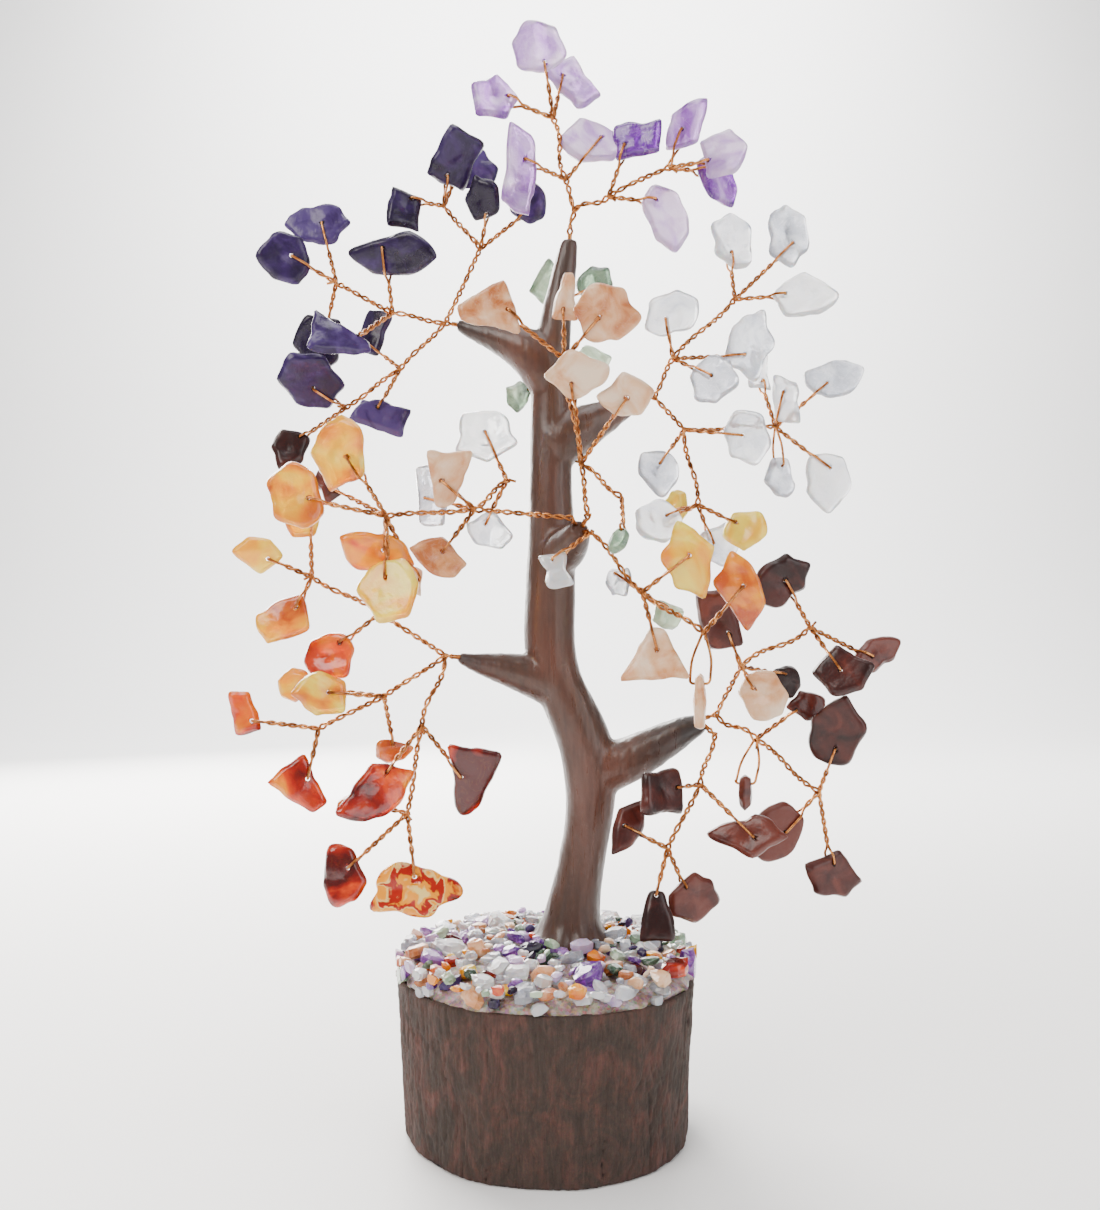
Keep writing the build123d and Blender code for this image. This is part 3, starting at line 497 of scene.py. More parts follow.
def gravel_chip(x, y, z, wide, thick):
    """One small chip at its resting place, with its outer points drawn in to the edge of the log."""
    half = np.array([wide, wide * rng.uniform(0.62, 0.95), thick])
    normals = np.concatenate([rng.normal(size=(GRAVEL_FLATS, 3)), np.eye(3), -np.eye(3)])
    normals /= np.linalg.norm(normals, axis=1, keepdims=True)
    support = np.linalg.norm(normals * half, axis=1) * rng.uniform(0.72, 1.0, len(normals))
    way = ball_directions(GRAVEL_ROWS, GRAVEL_COLUMNS, half)
    points = way * soft_facets(way, normals, support, GRAVEL_SHARPNESS)[:, None]
    roll, nod = rng.normal(0, GRAVEL_LEAN, 2)
    points = points @ tipped(rng.uniform(0, 2 * math.pi), roll, nod).T + np.array([x, y, z])
    edge = GRAVEL_EDGE * outline(np.arctan2(points[:, 1], points[:, 0]))
    points[:, :2] *= np.minimum(edge / np.hypot(points[:, 0], points[:, 1]), 1)[:, None]
    return points


def gravel_pieces():
    """One mesh for each kind of stone, with every chip of that kind."""
    places = heap(GRAVEL_COUNT)
    kinds = rng.choice(list(KIND_SHARES), size=len(places), p=list(KIND_SHARES.values()))
    made = {}
    for kind in KIND_SHARES:
        chips, tints = zip(*((gravel_chip(*place), rng.uniform()) for place in places[kinds == kind]))
        vertices, quads, triangles, counts = gather(chips, GRAVEL_COLUMNS)
        tints = np.repeat(tints, counts)
        piece = make_mesh(f"gravel_chips_{kind}", vertices, quads, triangles, "tree",
                          {"chip": tints, "tone": (tints * 7.3) % 1}, smooth=False)
        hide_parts(f"gravel_{kind}")
        made[kind] = piece
    return made


gravel = gravel_pieces()


def stone_clouds():
    """A shared group: veils, patches, bands, veins and breaks inside a stone, shifted from chip to chip."""
    group = bpy.data.node_groups.new("stone_clouds", "ShaderNodeTree")
    where = node(group, "ShaderNodeTexCoord").outputs["Object"]
    shift = maths(group, "MULTIPLY", attribute(group, "chip"), 3.7)
    apart = maths(group, "ADD", where, shift, kind="ShaderNodeVectorMath")
    paler = rescale(group, attribute(group, "tone"), 0.0, 1.0, -0.28, 0.28)
    veil = speckle(group, apart, 150.0, 5.0, distortion=0.9)["Fac"]
    patch = rescale(group, speckle(group, apart, 85.0, 3.0, 0.45, 1.1)["Fac"], 0.3, 0.7, 0.15, 0.85)
    bent = maths(group, "MULTIPLY", speckle(group, apart, 190.0, 3.0, distortion=1.2)["Fac"], 1.7)
    vein = maths(group, "SUBTRACT", speckle(group, apart, 260.0, 3.0, distortion=1.6)["Fac"], 0.5)
    effects = {
        "Veil": maths(group, "ADD", veil, paler),
        "Patch": maths(group, "ADD", patch, paler),
        "Band": maths(group, "ADD", bent, attribute(group, "rim")),
        "Vein": rescale(group, maths(group, "ABSOLUTE", vein), 0.0, 0.03, 1.0, 0.0),
        "Break": node(group, "ShaderNodeTexVoronoi", {"Vector": apart, "Scale": 330.0}).outputs["Distance"],
        "Wave": speckle(group, apart, 420.0, 3.0)["Fac"],
    }
    for name in effects:
        group.interface.new_socket(name, in_out="OUTPUT", socket_type="NodeSocketFloat")
    sink = group.nodes.new("NodeGroupOutput")
    for name, value in effects.items():
        group.links.new(value, sink.inputs[name])
    return group


clouds = stone_clouds()

# Each stone: what its colour follows, its colours from deep to pale, how clear it is, its roughness and its
# veins. The banded one's colours are its dark rim, yellow, red and cream.
STONES = {
    "quartz": ("Veil", ((0.56, 0.58, 0.65), (0.78, 0.80, 0.85), (0.91, 0.92, 0.95), (0.97, 0.97, 0.98)),
               0.6, 0.14, 0.4),
    "amethyst": ("Veil", ((0.13, 0.016, 0.28), (0.33, 0.11, 0.50), (0.56, 0.34, 0.71), (0.80, 0.65, 0.86)),
                 0.4, 0.15, 0.2),
    "sodalite": ("Veil", ((0.009, 0.003, 0.019), (0.017, 0.007, 0.040), (0.031, 0.013, 0.074),
                          (0.065, 0.036, 0.14)),
                 0.0, 0.26, 0.03),
    "citrine": ("Patch", ((0.52, 0.075, 0.0), (0.84, 0.25, 0.0), (0.95, 0.47, 0.0), (0.98, 0.73, 0.07)),
                0.25, 0.16, 0.05),
    "carnelian": ("Patch", ((0.08, 0.001, 0.0), (0.38, 0.009, 0.0), (0.74, 0.068, 0.0), (0.94, 0.32, 0.0)),
                  0.25, 0.14, 0.03),
    "peach": ("Veil", ((0.46, 0.14, 0.040), (0.66, 0.30, 0.125), (0.77, 0.48, 0.28), (0.85, 0.66, 0.49)),
              0.1, 0.24, 0.12),
    "aventurine": ("Veil", ((0.06, 0.11, 0.07), (0.17, 0.28, 0.18), (0.36, 0.50, 0.34), (0.60, 0.72, 0.54)),
                   0.4, 0.16, 0.25),
    "jasper": ("Veil", ((0.016, 0.0025, 0.0018), (0.038, 0.006, 0.004), (0.064, 0.011, 0.007),
                        (0.115, 0.024, 0.015)),
               0.0, 0.30, 0.03),
    "agate": ("Band", ((0.05, 0.004, 0.001), (0.92, 0.36, 0.004), (0.42, 0.010, 0.0), (0.95, 0.70, 0.24)),
              0.12, 0.12, 0.0),
}
STOPS = {"Veil": (0.30, 0.43, 0.58, 0.74), "Patch": (0.22, 0.42, 0.60, 0.84)}
BAND_STOPS = (0.20, 0.28, 0.39, 0.43, 0.53, 0.57, 0.62, 0.72, 0.80, 0.92)
# A stone clearer than this has breaks inside and a painted highlight round its rim. One clearer than the
# second has a full shine.
GLASSY, SHINY = 0.5, 0.2


def stone_material(kind):
    """A tumbled, polished stone: colours in veils, patches or bands, with pale veins, more or less clear."""
    follows, colours, clear, roughness, veins = STONES[kind]
    material, tree, shader = new_material(f"stone_{kind}")
    inside = node(tree, "ShaderNodeGroup", node_tree=clouds).outputs
    if follows == "Band":
        dark, yellow, red, cream = colours
        bands = (cream, yellow, yellow, red, red, cream, yellow, yellow, red, dark)
        colour = ramp(tree, rescale(tree, inside["Band"], 0.5, 2.1), list(zip(BAND_STOPS, bands)))
    else:
        colour = ramp(tree, inside[follows], list(zip(STOPS[follows], colours)))
    colour = mix(tree, maths(tree, "MULTIPLY", inside["Vein"], veins), colour, colours[3])
    height = inside["Wave"]
    if clear > GLASSY:
        # Painted highlight: a clear stone goes paler towards its outline, where its edges catch the light.
        rim = rescale(tree, attribute(tree, "rim"), 0.7, 1.0, 0.0, 0.8)
        colour = mix(tree, rim, colour, (0.97, 0.96, 0.99))
        height = maths(tree, "ADD", maths(tree, "MULTIPLY", inside["Break"], 0.8), height)
    fill(tree, shader, {"Base Color": colour, "Roughness": roughness, "IOR": 1.54,
                        "Specular IOR Level": 0.5 if clear > SHINY else 0.32,
                        "Coat Weight": 0.25 if clear else 0.1, "Coat Roughness": 0.06})
    if clear:
        fill(tree, shader, {"Transmission Weight": clear, "Subsurface Weight": 0.8,
                            "Subsurface Radius": (0.004, 0.003, 0.0024)})
    relief(tree, shader, height, 0.4, 0.0006)
    return material


stone_materials = {kind: stone_material(kind) for kind in STONES}
for kind, piece in gravel.items():
    piece.data.materials.append(stone_materials[kind])

# ---- Clay trunk ------------------------------------------------------------------------------------------
# Trunk and limbs are modelled by hand in one mass of brown clay over the wires, smoothed with a wet finger
# so that every limb grows out of the trunk in a curve, and rubbed to a soft shine.

CLAY_VOXEL = 0.45
EASING_PULLS = (0.6, -0.42) * 30
FOOT_FLARE, FOOT_FLARE_HEIGHT = 0.40, 3.4
# Limb ends are nearly black: the clay darkens between two distances from a point by the trunk
LIMBS_FROM = np.array([4.0, 2.0])
DARKENS_FROM, DARK_BY = 15, 29


def rows_of(items, key, width, kind=np.float64):
    """One property of a mesh's vertices, edges or triangles, a row for each."""
    values = np.empty(len(items) * width, kind)
    items.foreach_get(key, values)
    return values.reshape(-1, width)


def skin_of(name):
    """A CAD node's vertices, merged where they coincide, in millimetres, and its triangles."""
    mesh = nodes[name].data
    mesh.calc_loop_triangles()
    place = rows_of(mesh.vertices, "co", 3)
    triangles = rows_of(mesh.loop_triangles, "vertices", 3, np.int32)
    merged, index = np.unique(np.round(place / MM, 4), axis=0, return_inverse=True)
    triangles = index.ravel()[triangles]
    whole = (triangles != np.roll(triangles, 1, axis=1)).all(axis=1)
    return merged, triangles[whole]


def clay_trunk():
    """The trunk's own form, closed up into one skin and eased until its joins are round, then worked by hand.

    Easing moves every point towards the mean of its neighbours, p + pull (mean - p), and then part of the way
    back. The foot is pressed outwards where it meets the glue.
    """
    place, triangles = skin_of("clay_trunk")
    source = put("clay_form", bare_mesh("clay_form", place, (), triangles))
    closing = source.modifiers.new("skin", "REMESH")
    closing.mode = "VOXEL"
    closing.voxel_size = CLAY_VOXEL * MM
    bpy.context.view_layer.update()
    mesh = bpy.data.meshes.new_from_object(source.evaluated_get(bpy.context.evaluated_depsgraph_get()))
    bpy.data.objects.remove(source)
    piece = put("clay", mesh)
    count = len(mesh.vertices)
    eased = rows_of(mesh.vertices, "co", 3) / MM
    edges = rows_of(mesh.edges, "vertices", 2, np.int64)
    ends = np.concatenate([edges, edges[:, ::-1]])
    degree = np.bincount(ends[:, 0], minlength=count)[:, None]
    for pull in EASING_PULLS:
        total = np.stack([np.bincount(ends[:, 0], weights=eased[ends[:, 1], axis], minlength=count)
                          for axis in range(3)], axis=-1)
        eased = eased + pull * (total / degree - eased)
    mesh.vertices.foreach_set("co", (eased * MM).ravel())
    mesh.update()
    normal = rows_of(mesh.vertices, "normal", 3)
    strokes = 0.10 * rough(eased * np.array([0.55, 0.55, 0.06]), 70, 3) + 0.14 * noise(eased * 0.16, 75)
    grains = 0.04 * noise(eased * 1.2, 77)
    eased = eased + normal * (strokes + grains - 0.06)[:, None]
    rise = np.clip(eased[:, 2] - LOG_HEIGHT - BED_CROWN, 0, None)
    around = np.arctan2(eased[:, 1] - TRUNK_FOOT[1], eased[:, 0] - TRUNK_FOOT[0])
    ragged = 1 + 0.5 * noise(np.stack([3 * np.cos(around), 3 * np.sin(around), 0 * around], axis=-1), 79)
    out = eased[:, :2] - TRUNK_FOOT
    eased[:, :2] += out * (FOOT_FLARE * ragged * np.exp(-(rise / FOOT_FLARE_HEIGHT) ** 1.4))[:, None]
    mesh.vertices.foreach_set("co", (eased * MM).ravel())
    mesh.polygons.foreach_set("use_smooth", np.ones(len(mesh.polygons), bool))
    apart = np.linalg.norm(eased[:, :2] - LIMBS_FROM, axis=1)
    darker = np.clip((apart - DARKENS_FROM) / (DARK_BY - DARKENS_FROM), 0, 1).astype(np.float32)
    mesh.attributes.new("tip", "FLOAT", "POINT").data.foreach_set("value", darker)
    mesh.update()
    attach(piece, "tree")
    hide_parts("clay_trunk")
    return piece


def clay_material():
    """Dark chocolate clay, redder in patches, nearly black at the limb ends, with streaks of rubbed shine."""
    material, tree, shader = new_material("clay")
    streak = speckle(tree, place_scaled(tree, (620, 620, 50)), 1.0, 5.0, 0.6)["Fac"]
    blotch = speckle(tree, place_scaled(tree, (70, 70, 32)), 1.0, 4.0)["Fac"]
    pores = speckle(tree, place_scaled(tree, (3200, 3200, 2400)), 1.0, 2.0)["Fac"]
    colour = ramp(tree, blotch, [(0.32, (0.046, 0.025, 0.018)), (0.5, (0.072, 0.034, 0.023)),
                                 (0.68, (0.112, 0.042, 0.027))])
    dark = ramp(tree, streak, [(0.32, (0.66, 0.64, 0.62)), (0.6, (1.1, 1.08, 1.06))])
    colour = mix(tree, 0.8, colour, dark, "MULTIPLY")
    colour = mix(tree, attribute(tree, "tip"), colour, (0.022, 0.015, 0.014))
    fill(tree, shader, {"Base Color": colour, "Roughness": rescale(tree, streak, 0.3, 0.7, 0.40, 0.24)})
    relief(tree, shader, maths(tree, "ADD", streak, maths(tree, "MULTIPLY", pores, 0.25)), 0.28, 0.0004)
    return material


clay = clay_trunk()
clay.data.materials.append(clay_material())

# ---- Twisted twigs ---------------------------------------------------------------------------------------
# Each twig is two soft copper wires twisted round each other by hand, so the twist opens and tightens. Where
# a twig parts, the wires leave a small eye.

WIRE_RADIUS = 0.31
WIRE_SIDES = 8
TWIST_PITCH = 4.6
TWIST_STEPS = 13
FORK_REACH = 1.5
# In the solids a twig is a bar that runs past its fork by the overrun. Scraps of less than the area, in
# square millimetres, are where two bars touch. Off its line, a fork counts as so many times farther away.
OVERRUN = 0.55
SCRAP_AREA = 3.0
OFF_LINE_COST = 12

joints = {joint["child"]: joint for joint in frame["joints"]}
SPRAYS = [body.removesuffix("_spray") for body in frame["bodies"] if body.endswith("_spray")]


def parts_of(name):
    """The separate solids of a CAD node, each as the node's merged vertices and its own triangles.

    Two triangles belong together if they share an edge that no other triangle has, so solids that only
    touch stay apart. The scraps where they touch are dropped.
    """
    merged, triangles = skin_of(name)
    edges = np.sort(np.stack([triangles, np.roll(triangles, -1, axis=1)], axis=-1).reshape(-1, 2), axis=1)
    edge, count = np.unique(edges, axis=0, return_inverse=True, return_counts=True)[1:]
    order = np.argsort(edge.ravel(), kind="stable")
    pairs = (order // 3)[np.repeat(count == 2, count)].reshape(-1, 2)
    label = np.arange(len(triangles))
    while True:
        low = label[pairs].min(axis=1)
        new = label.copy()
        np.minimum.at(new, pairs[:, 0], low)
        np.minimum.at(new, pairs[:, 1], low)
        new = new[new]
        if (new == label).all():
            break
        label = new
    groups = [(merged, triangles[label == part]) for part in np.unique(label)]
    return [group for group in groups if facets_of(*group)[2].sum() > SCRAP_AREA]


def facets_of(vertices, triangles):
    """Each triangle's middle, unit normal and area."""
    a, b, c = (vertices[triangles[:, corner]] for corner in range(3))
    cross = np.cross(b - a, c - a)
    area = np.linalg.norm(cross, axis=1)
    keep = area > 1e-7
    return ((a + b + c) / 3)[keep], cross[keep] / area[keep, None], area[keep] / 2


def bar_line(vertices, triangles):
    """A round bar's middle line: the least-squares c and r in n.c + r = n.m over the facets of its side.

    Returns a point on the line, its direction, and where the bar starts and ends along it.
    """
    middle, normal, area = facets_of(vertices, triangles)
    axis = np.linalg.eigh((normal * area[:, None]).T @ normal)[1][:, 0]
    for limit in (0.3, 0.05, 0.02):
        side = np.abs(normal @ axis) < limit
        axis = np.linalg.eigh((normal[side] * area[side, None]).T @ normal[side])[1][:, 0]
    weight = np.sqrt(area[side])
    rows = np.column_stack([normal[side], np.ones(side.sum())]) * weight[:, None]
    centre = np.linalg.lstsq(rows, (normal[side] * middle[side]).sum(axis=1) * weight, rcond=None)[0][:3]
    along = (vertices[np.unique(triangles)] - centre) @ axis
    return centre, axis, along.min(), along.max()


def twigs_of(spray):
    """The spray's twigs from its bend outward, as pairs of forks, in the order that they grow.

    A twig starts at the known fork that lies best on its line and nearest to its end.
    """
    bars = [bar_line(*part) for part in parts_of(f"{spray}_branches")]
    forks = [np.array(joints[f"{spray}_spray"]["pos_m"]) / MM]
    twigs = []
    while bars:
        choices = []
        for (start, fork), (index, bar) in itertools.product(enumerate(forks), enumerate(bars)):
            centre, axis, low, high = bar
            along = (fork - centre) @ axis
            off = np.linalg.norm(fork - centre - along * axis)
            choices.append((OFF_LINE_COST * off + abs(along - low), start, index, high - OVERRUN))
            choices.append((OFF_LINE_COST * off + abs(along - high), start, index, low + OVERRUN))
        _, start, index, reach = min(choices)
        centre, axis, _, _ = bars.pop(index)
        forks.append(centre + reach * axis)
        twigs.append((start, len(forks) - 1))
    return forks, twigs


def square_to(way):
    """Two unit vectors square to a direction and to each other."""
    side = np.cross(way, [0.0, 0.0, 1.0] if abs(way[2]) < 0.8 else [1.0, 0.0, 0.0])
    side /= np.linalg.norm(side)
    return side, np.cross(way, side)


def tube(path, reference, radius):
    """A round wire along a path: P(i, a) = path(i) + r (cos a N(i) + sin a B(i)), N square to the path."""
    tangent = np.gradient(path, axis=0)
    tangent /= np.linalg.norm(tangent, axis=1, keepdims=True)
    normal = reference - (tangent @ reference)[:, None] * tangent
    normal /= np.linalg.norm(normal, axis=1, keepdims=True)
    other = np.cross(tangent, normal)
    angle = np.arange(WIRE_SIDES) * 2 * math.pi / WIRE_SIDES
    ring = np.cos(angle)[None, :, None] * normal[:, None] + np.sin(angle)[None, :, None] * other[:, None]
    return np.concatenate([(path[:, None] + radius * ring).reshape(-1, 3), path[:1], path[-1:]])


def join_tubes(name, tubes, body):
    """All the tubes of one spray as one copper mesh, with a number of its own on each tube."""
    vertices, quads, triangles, counts = gather(tubes, WIRE_SIDES)
    shades = np.repeat([rng.uniform() for _ in tubes], counts)
    return make_mesh(name, vertices, quads, triangles, body, {"chip": shades})


def twisted_pair(start, end, bow):
    """Two wires round a slightly bowed line: w(s) = line(s) +- q(s) (cos t(s) N + sin t(s) B)."""
    length = np.linalg.norm(end - start)
    way = (end - start) / length
    side, other = square_to(way)
    share = np.linspace(-0.25 / length, 1 + 0.25 / length, max(8, int(length / TWIST_PITCH * TWIST_STEPS)))
    line = start + share[:, None] * (end - start)
    line = line + bow[0] * np.sin(math.pi * np.clip(share, 0, 1))[:, None] * side
    line = line + bow[1] * np.sin(2 * math.pi * np.clip(share, 0, 1))[:, None] * other
    phase = rng.uniform(0, math.pi)
    uneven = 0.5 * np.sin(3.1 * share * length / TWIST_PITCH + phase)
    turn = 2 * math.pi * share * length / TWIST_PITCH + uneven + phase
    eye = np.exp(-((1 - share) * length / FORK_REACH) ** 2)
    open_twist = 0.5 + 0.5 * np.sin(0.9 * share * length + 2 * phase)
    spread = WIRE_RADIUS * (1.02 + 0.42 * open_twist + 0.6 * eye)
    offset = spread[:, None] * (np.cos(turn)[:, None] * side + np.sin(turn)[:, None] * other)
    return [tube(line + offset, side, WIRE_RADIUS), tube(line - offset, side, WIRE_RADIUS)]


def cut_end(fork, way):
    """A short stray end of wire that was cut off at a fork and pressed aside."""
    side, other = square_to(way)
    share = np.linspace(0, 1, 7)[:, None]
    bend = side * rng.uniform(-1, 1) + other * rng.uniform(-1, 1)
    path = fork + way * 0.5 + (way * 0.3 + bend / np.linalg.norm(bend)) * share * rng.uniform(1.2, 2.0)
    return tube(path + way * 0.4 * share ** 2, way, WIRE_RADIUS)


def copper_material():
    """Drawn copper in noise patches that run from a painted dark shade to a painted bright highlight,
    smoother where it is brighter.
    """
    material, tree, shader = new_material("copper_wire")
    painted_sheen = speckle(tree, place_scaled(tree, (1, 1, 1)), 520.0, 4.0)["Fac"]
    # Painted shade and highlight: the copper's colours run from dark brown to bright orange.
    colour = ramp(tree, painted_sheen, [(0.34, (0.15, 0.048, 0.015)), (0.50, (0.42, 0.152, 0.046)),
                               (0.70, (0.74, 0.35, 0.125))])
    fill(tree, shader, {"Base Color": colour, "Metallic": 1.0,
                        "Roughness": rescale(tree, painted_sheen, 0.3, 0.7, 0.38, 0.22)})
    return material


copper = copper_material()
nodes["wire_bundle"].data.materials.clear()
nodes["wire_bundle"].data.materials.append(copper)

forks_of = {}
for spray in SPRAYS:
    forks, twigs = twigs_of(spray)
    forks_of[spray] = forks
    tubes = []
    for start, end in twigs:
        long_enough = min(np.linalg.norm(forks[end] - forks[start]) / 12, 1)
        tubes += twisted_pair(forks[start], forks[end], rng.normal(0, 0.35, 2) * long_enough)
        if start:
            way = forks[end] - forks[start]
            tubes.append(cut_end(forks[end], way / np.linalg.norm(way)))
    piece = join_tubes(f"{spray}_twigs", tubes, f"{spray}_spray")
    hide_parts(f"{spray}_branches")
    piece.data.materials.append(copper)

# ---- Drilled chips ---------------------------------------------------------------------------------------
# Polished flat chips, each drilled through near one end. Outline, thickness and bore follow the solid chip,
# with its edges tumbled round, a few worn flats and a slight wave on its faces.

CHIP_ROWS, CHIP_COLUMNS = 34, 64
WORN_FLATS = 6
BORE_RADIUS, BORE_SIDES = 0.48, 16
# How far a chip's outline waves in and out, in millimetres, by its stone
PLAIN_WAVINESS = 0.95
WAVINESS = {"agate": 2.4, "quartz": 1.1}
# From chip to chip the pattern shifts by one step, and the paleness, where it isn't set, goes on by the other
SHIFT_STEP, TONE_STEP = 0.37, 0.618
FIRST_SEED, SEED_STEP = 100, 20
# How pale each chip is, from 0 to 1, where the chips of a spray differ in a set way
TONES = {
    "crown_amethyst": (0.62, 0.9, 0.55, 0.72, 0.75, 0.0, 0.95, 0.5, 0.9, 0.25),
    "front_left_citrine": (0.55, 0.3, 0.95),
    "lower_left_carnelian": (0.5, 0.65, 0.6, 0.5, 0.0, 0.2),
    "lower_left_citrine": (0.95, 0.3, 0.6, 0.85, 0.45, 0.15, 0.3),
    "upper_right_citrine": (1.0, 1.0),
    "centre_peach": (0.72, 0.8, 0.45, 0.65, 0.4),
    "lower_right_peach": (0.75,),
    "front_right_citrine": (0.85,),
    "front_right_carnelian": (0.25,),
}
# A chip of another stone among its spray's, by its place in the spray
ODD_CHIPS = {"upper_left_sodalite": (13, "jasper"), "front_right_carnelian": (0, "citrine")}


def bore_of(vertices, triangles):
    """A chip's bore, square to its largest flat side: its centre and axis, and the chip's thickness."""
    middle, normal, area = facets_of(vertices, triangles)
    ways, index = np.unique(np.round(normal, 3), axis=0, return_inverse=True)
    axis = ways[np.argmax(np.bincount(index.ravel(), weights=area))]
    axis = axis / np.linalg.norm(axis)
    inner = np.abs(normal @ axis) < 0.2
    centre = (middle[inner] * area[inner, None]).sum(axis=0) / area[inner].sum()
    height = vertices[np.unique(triangles)] @ axis
    return centre, axis, height.max() - height.min()


def facet_planes(vertices, triangles):
    """The chip's flat sides, those with no point of it beyond: unit normals and distances from its middle.

    Returns the middle as well. The walls of the bore have points beyond them, so they are left out.
    """
    middle, normal, area = facets_of(vertices, triangles)
    farthest = (vertices[np.unique(triangles)] @ normal.T).max(axis=0)
    outer = farthest - np.einsum("ij,ij->i", middle, normal) < 0.02
    middle, normal, area = middle[outer], normal[outer], area[outer]
    centre = (middle * area[:, None]).sum(axis=0) / area.sum()
    reach = np.einsum("ij,ij->i", middle - centre, normal)
    first = np.unique(np.round(np.column_stack([normal, reach]), 2), axis=0, return_index=True)[1]
    return centre, normal[first], reach[first]


# No chip stands out past the solids' own box, in millimetres
room = np.array([list(corner) for corner in box_of_solids]) / MM + np.array([[0.05], [-0.05]])


def chip_form(part, seed, waviness):
    """One tumbled chip: soft facets on a ball grid, waved, then stretched to the solid chip's three sizes.

    Returns its skin, and for each point how near it is to the outline: 0 in the middle of a face and 1 there.
    """
    vertices, triangles = part
    axis = bore_of(vertices, triangles)[1]
    centre, normals, reaches = facet_planes(vertices, triangles)
    own = np.random.default_rng(seed)
    points = vertices[np.unique(triangles)] - centre
    flat = points - (points @ axis)[:, None] * axis
    side = np.linalg.svd(flat, full_matrices=False)[2][0]
    side = side - (side @ axis) * axis
    side /= np.linalg.norm(side)
    frame_axes = np.stack([side, np.cross(axis, side), axis])
    solid = points @ frame_axes.T
    directions = ball_directions(CHIP_ROWS, CHIP_COLUMNS, np.abs(solid).max(axis=0)) @ frame_axes
    extra = own.normal(size=(WORN_FLATS, 3)) * np.array([1, 1, 0.8])
    extra = extra / np.linalg.norm(extra, axis=1, keepdims=True) @ frame_axes
    support = (extra @ points.T).max(axis=1) * own.uniform(0.86, 0.97, WORN_FLATS)
    radius = soft_facets(directions, np.concatenate([normals, extra]),
                         np.concatenate([reaches, support]), own.uniform(11, 26))
    skin = directions * radius[:, None]
    across = skin - (skin @ axis)[:, None] * axis
    wave = waviness * noise(across * 0.26 + seed * 7.1, 90) + 0.12 * noise(skin * 0.7 + seed * 3.3, 91)
    skin = (skin + directions * wave[:, None]) @ frame_axes.T
    low, high = skin.min(axis=0), skin.max(axis=0)
    skin = solid.min(axis=0) + (skin - low) / (high - low) * (solid.max(axis=0) - solid.min(axis=0))
    edge = np.linalg.norm(across, axis=1) / radius.max()
    return np.clip(centre + skin @ frame_axes, *room), np.clip(edge, 0, 1)


def drill(bores):
    """Short rods, a little wider than the wire, to be taken out of the chips.

    Each is two rings, P(a) = end + r (cos a N + sin a B), and the middle of each end.
    """
    angle = np.arange(BORE_SIDES) * 2 * math.pi / BORE_SIDES
    rods = []
    for centre, axis, thickness in bores:
        side, other = square_to(axis)
        ring = BORE_RADIUS * (np.cos(angle)[:, None] * side + np.sin(angle)[:, None] * other)
        ends = np.array([centre + axis * reach * thickness for reach in (-1.2, 1.2)])
        rods.append(np.concatenate([ends[0] + ring, ends[1] + ring, ends]))
    return put("drill", bare_mesh("drill", *gather(rods, BORE_SIDES)[:3], smooth=False))


def chips_of(name, body, kind, seed):
    """All the drilled chips of one CAD node as one mesh, with their bores cut through."""
    parts = parts_of(name)
    known = TONES.get(name, ())
    skins, rims, shifts, tones = [], [], [], []
    for count, part in enumerate(parts):
        skin, rim = chip_form(part, seed + count, WAVINESS.get(kind, PLAIN_WAVINESS))
        skins.append(skin)
        rims.append(rim)
        shifts.append(SHIFT_STEP * (seed + count) % 1)
        tones.append(known[count] if count < len(known) else TONE_STEP * (seed + count) % 1)
    vertices, quads, triangles, counts = gather(skins, CHIP_COLUMNS)
    piece = make_mesh(f"{name}_chips", vertices, quads, triangles, body,
                      {"chip": np.repeat(shifts, counts), "tone": np.repeat(tones, counts),
                       "rim": np.concatenate(rims)})
    piece.data.materials.append(stone_materials[kind])
    if name in ODD_CHIPS:
        odd, other = ODD_CHIPS[name]
        piece.data.materials.append(stone_materials[other])
        owner = np.concatenate([np.arange(len(faces)) // (len(faces) // len(parts))
                                for faces in (quads, triangles)])
        piece.data.polygons.foreach_set("material_index", (owner == odd).astype(np.int32))
    cutter = drill([bore_of(*part) for part in parts])
    cut = piece.modifiers.new("bores", "BOOLEAN")
    cut.operation = "DIFFERENCE"
    cut.solver = "MANIFOLD"
    cut.object = cutter
    bpy.context.view_layer.update()
    finished = bpy.data.meshes.new_from_object(piece.evaluated_get(bpy.context.evaluated_depsgraph_get()))
    piece.modifiers.clear()
    piece.data = finished
    bpy.data.objects.remove(cutter)
    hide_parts(name)


def chip_nodes(spray):
    """The CAD nodes on a spray that are chips, each with its kind of stone."""
    names = frame["record"]["behaviour"]["bodies"][f"{spray}_spray"]
    kinds = [(name, name.rsplit("_", 1)[1]) for name in names]
    return [(name, kind) for name, kind in kinds if kind in STONES]


chip_sets = [(name, f"{spray}_spray", kind) for spray in SPRAYS for name, kind in chip_nodes(spray)]
chip_sets += [(body, body, body.removesuffix("_drop")) for body in frame["bodies"] if body.endswith("_drop")]
for place, (name, body, kind) in enumerate(chip_sets):
    chips_of(name, body, kind, FIRST_SEED + SEED_STEP * place)

# ---- Hairpin loops ---------------------------------------------------------------------------------------
# Each chip hangs on one wire, doubled. Its two legs are twisted together up to the chip, part round its rim,
# run in over both faces and meet through the bore.

# A twisted leg's distance from their middle line
LEG_GAP = WIRE_RADIUS * 1.05
HAIRPIN_CORNER = 0.35
# A chip that swings has this much room at each face, and its loop stays wide for so long past its rim
SWING_ROOM = 0.35
WIDE_FOR = 1.2


def nearest_fork(forks, bore, fits):
    """The fork that a chip's wire comes from: the nearest of those that fit."""
    arms = np.array(forks[1:]) - bore
    return forks[1 + int(np.argmin(np.linalg.norm(arms, axis=1) + 1000 * ~fits(arms)))]


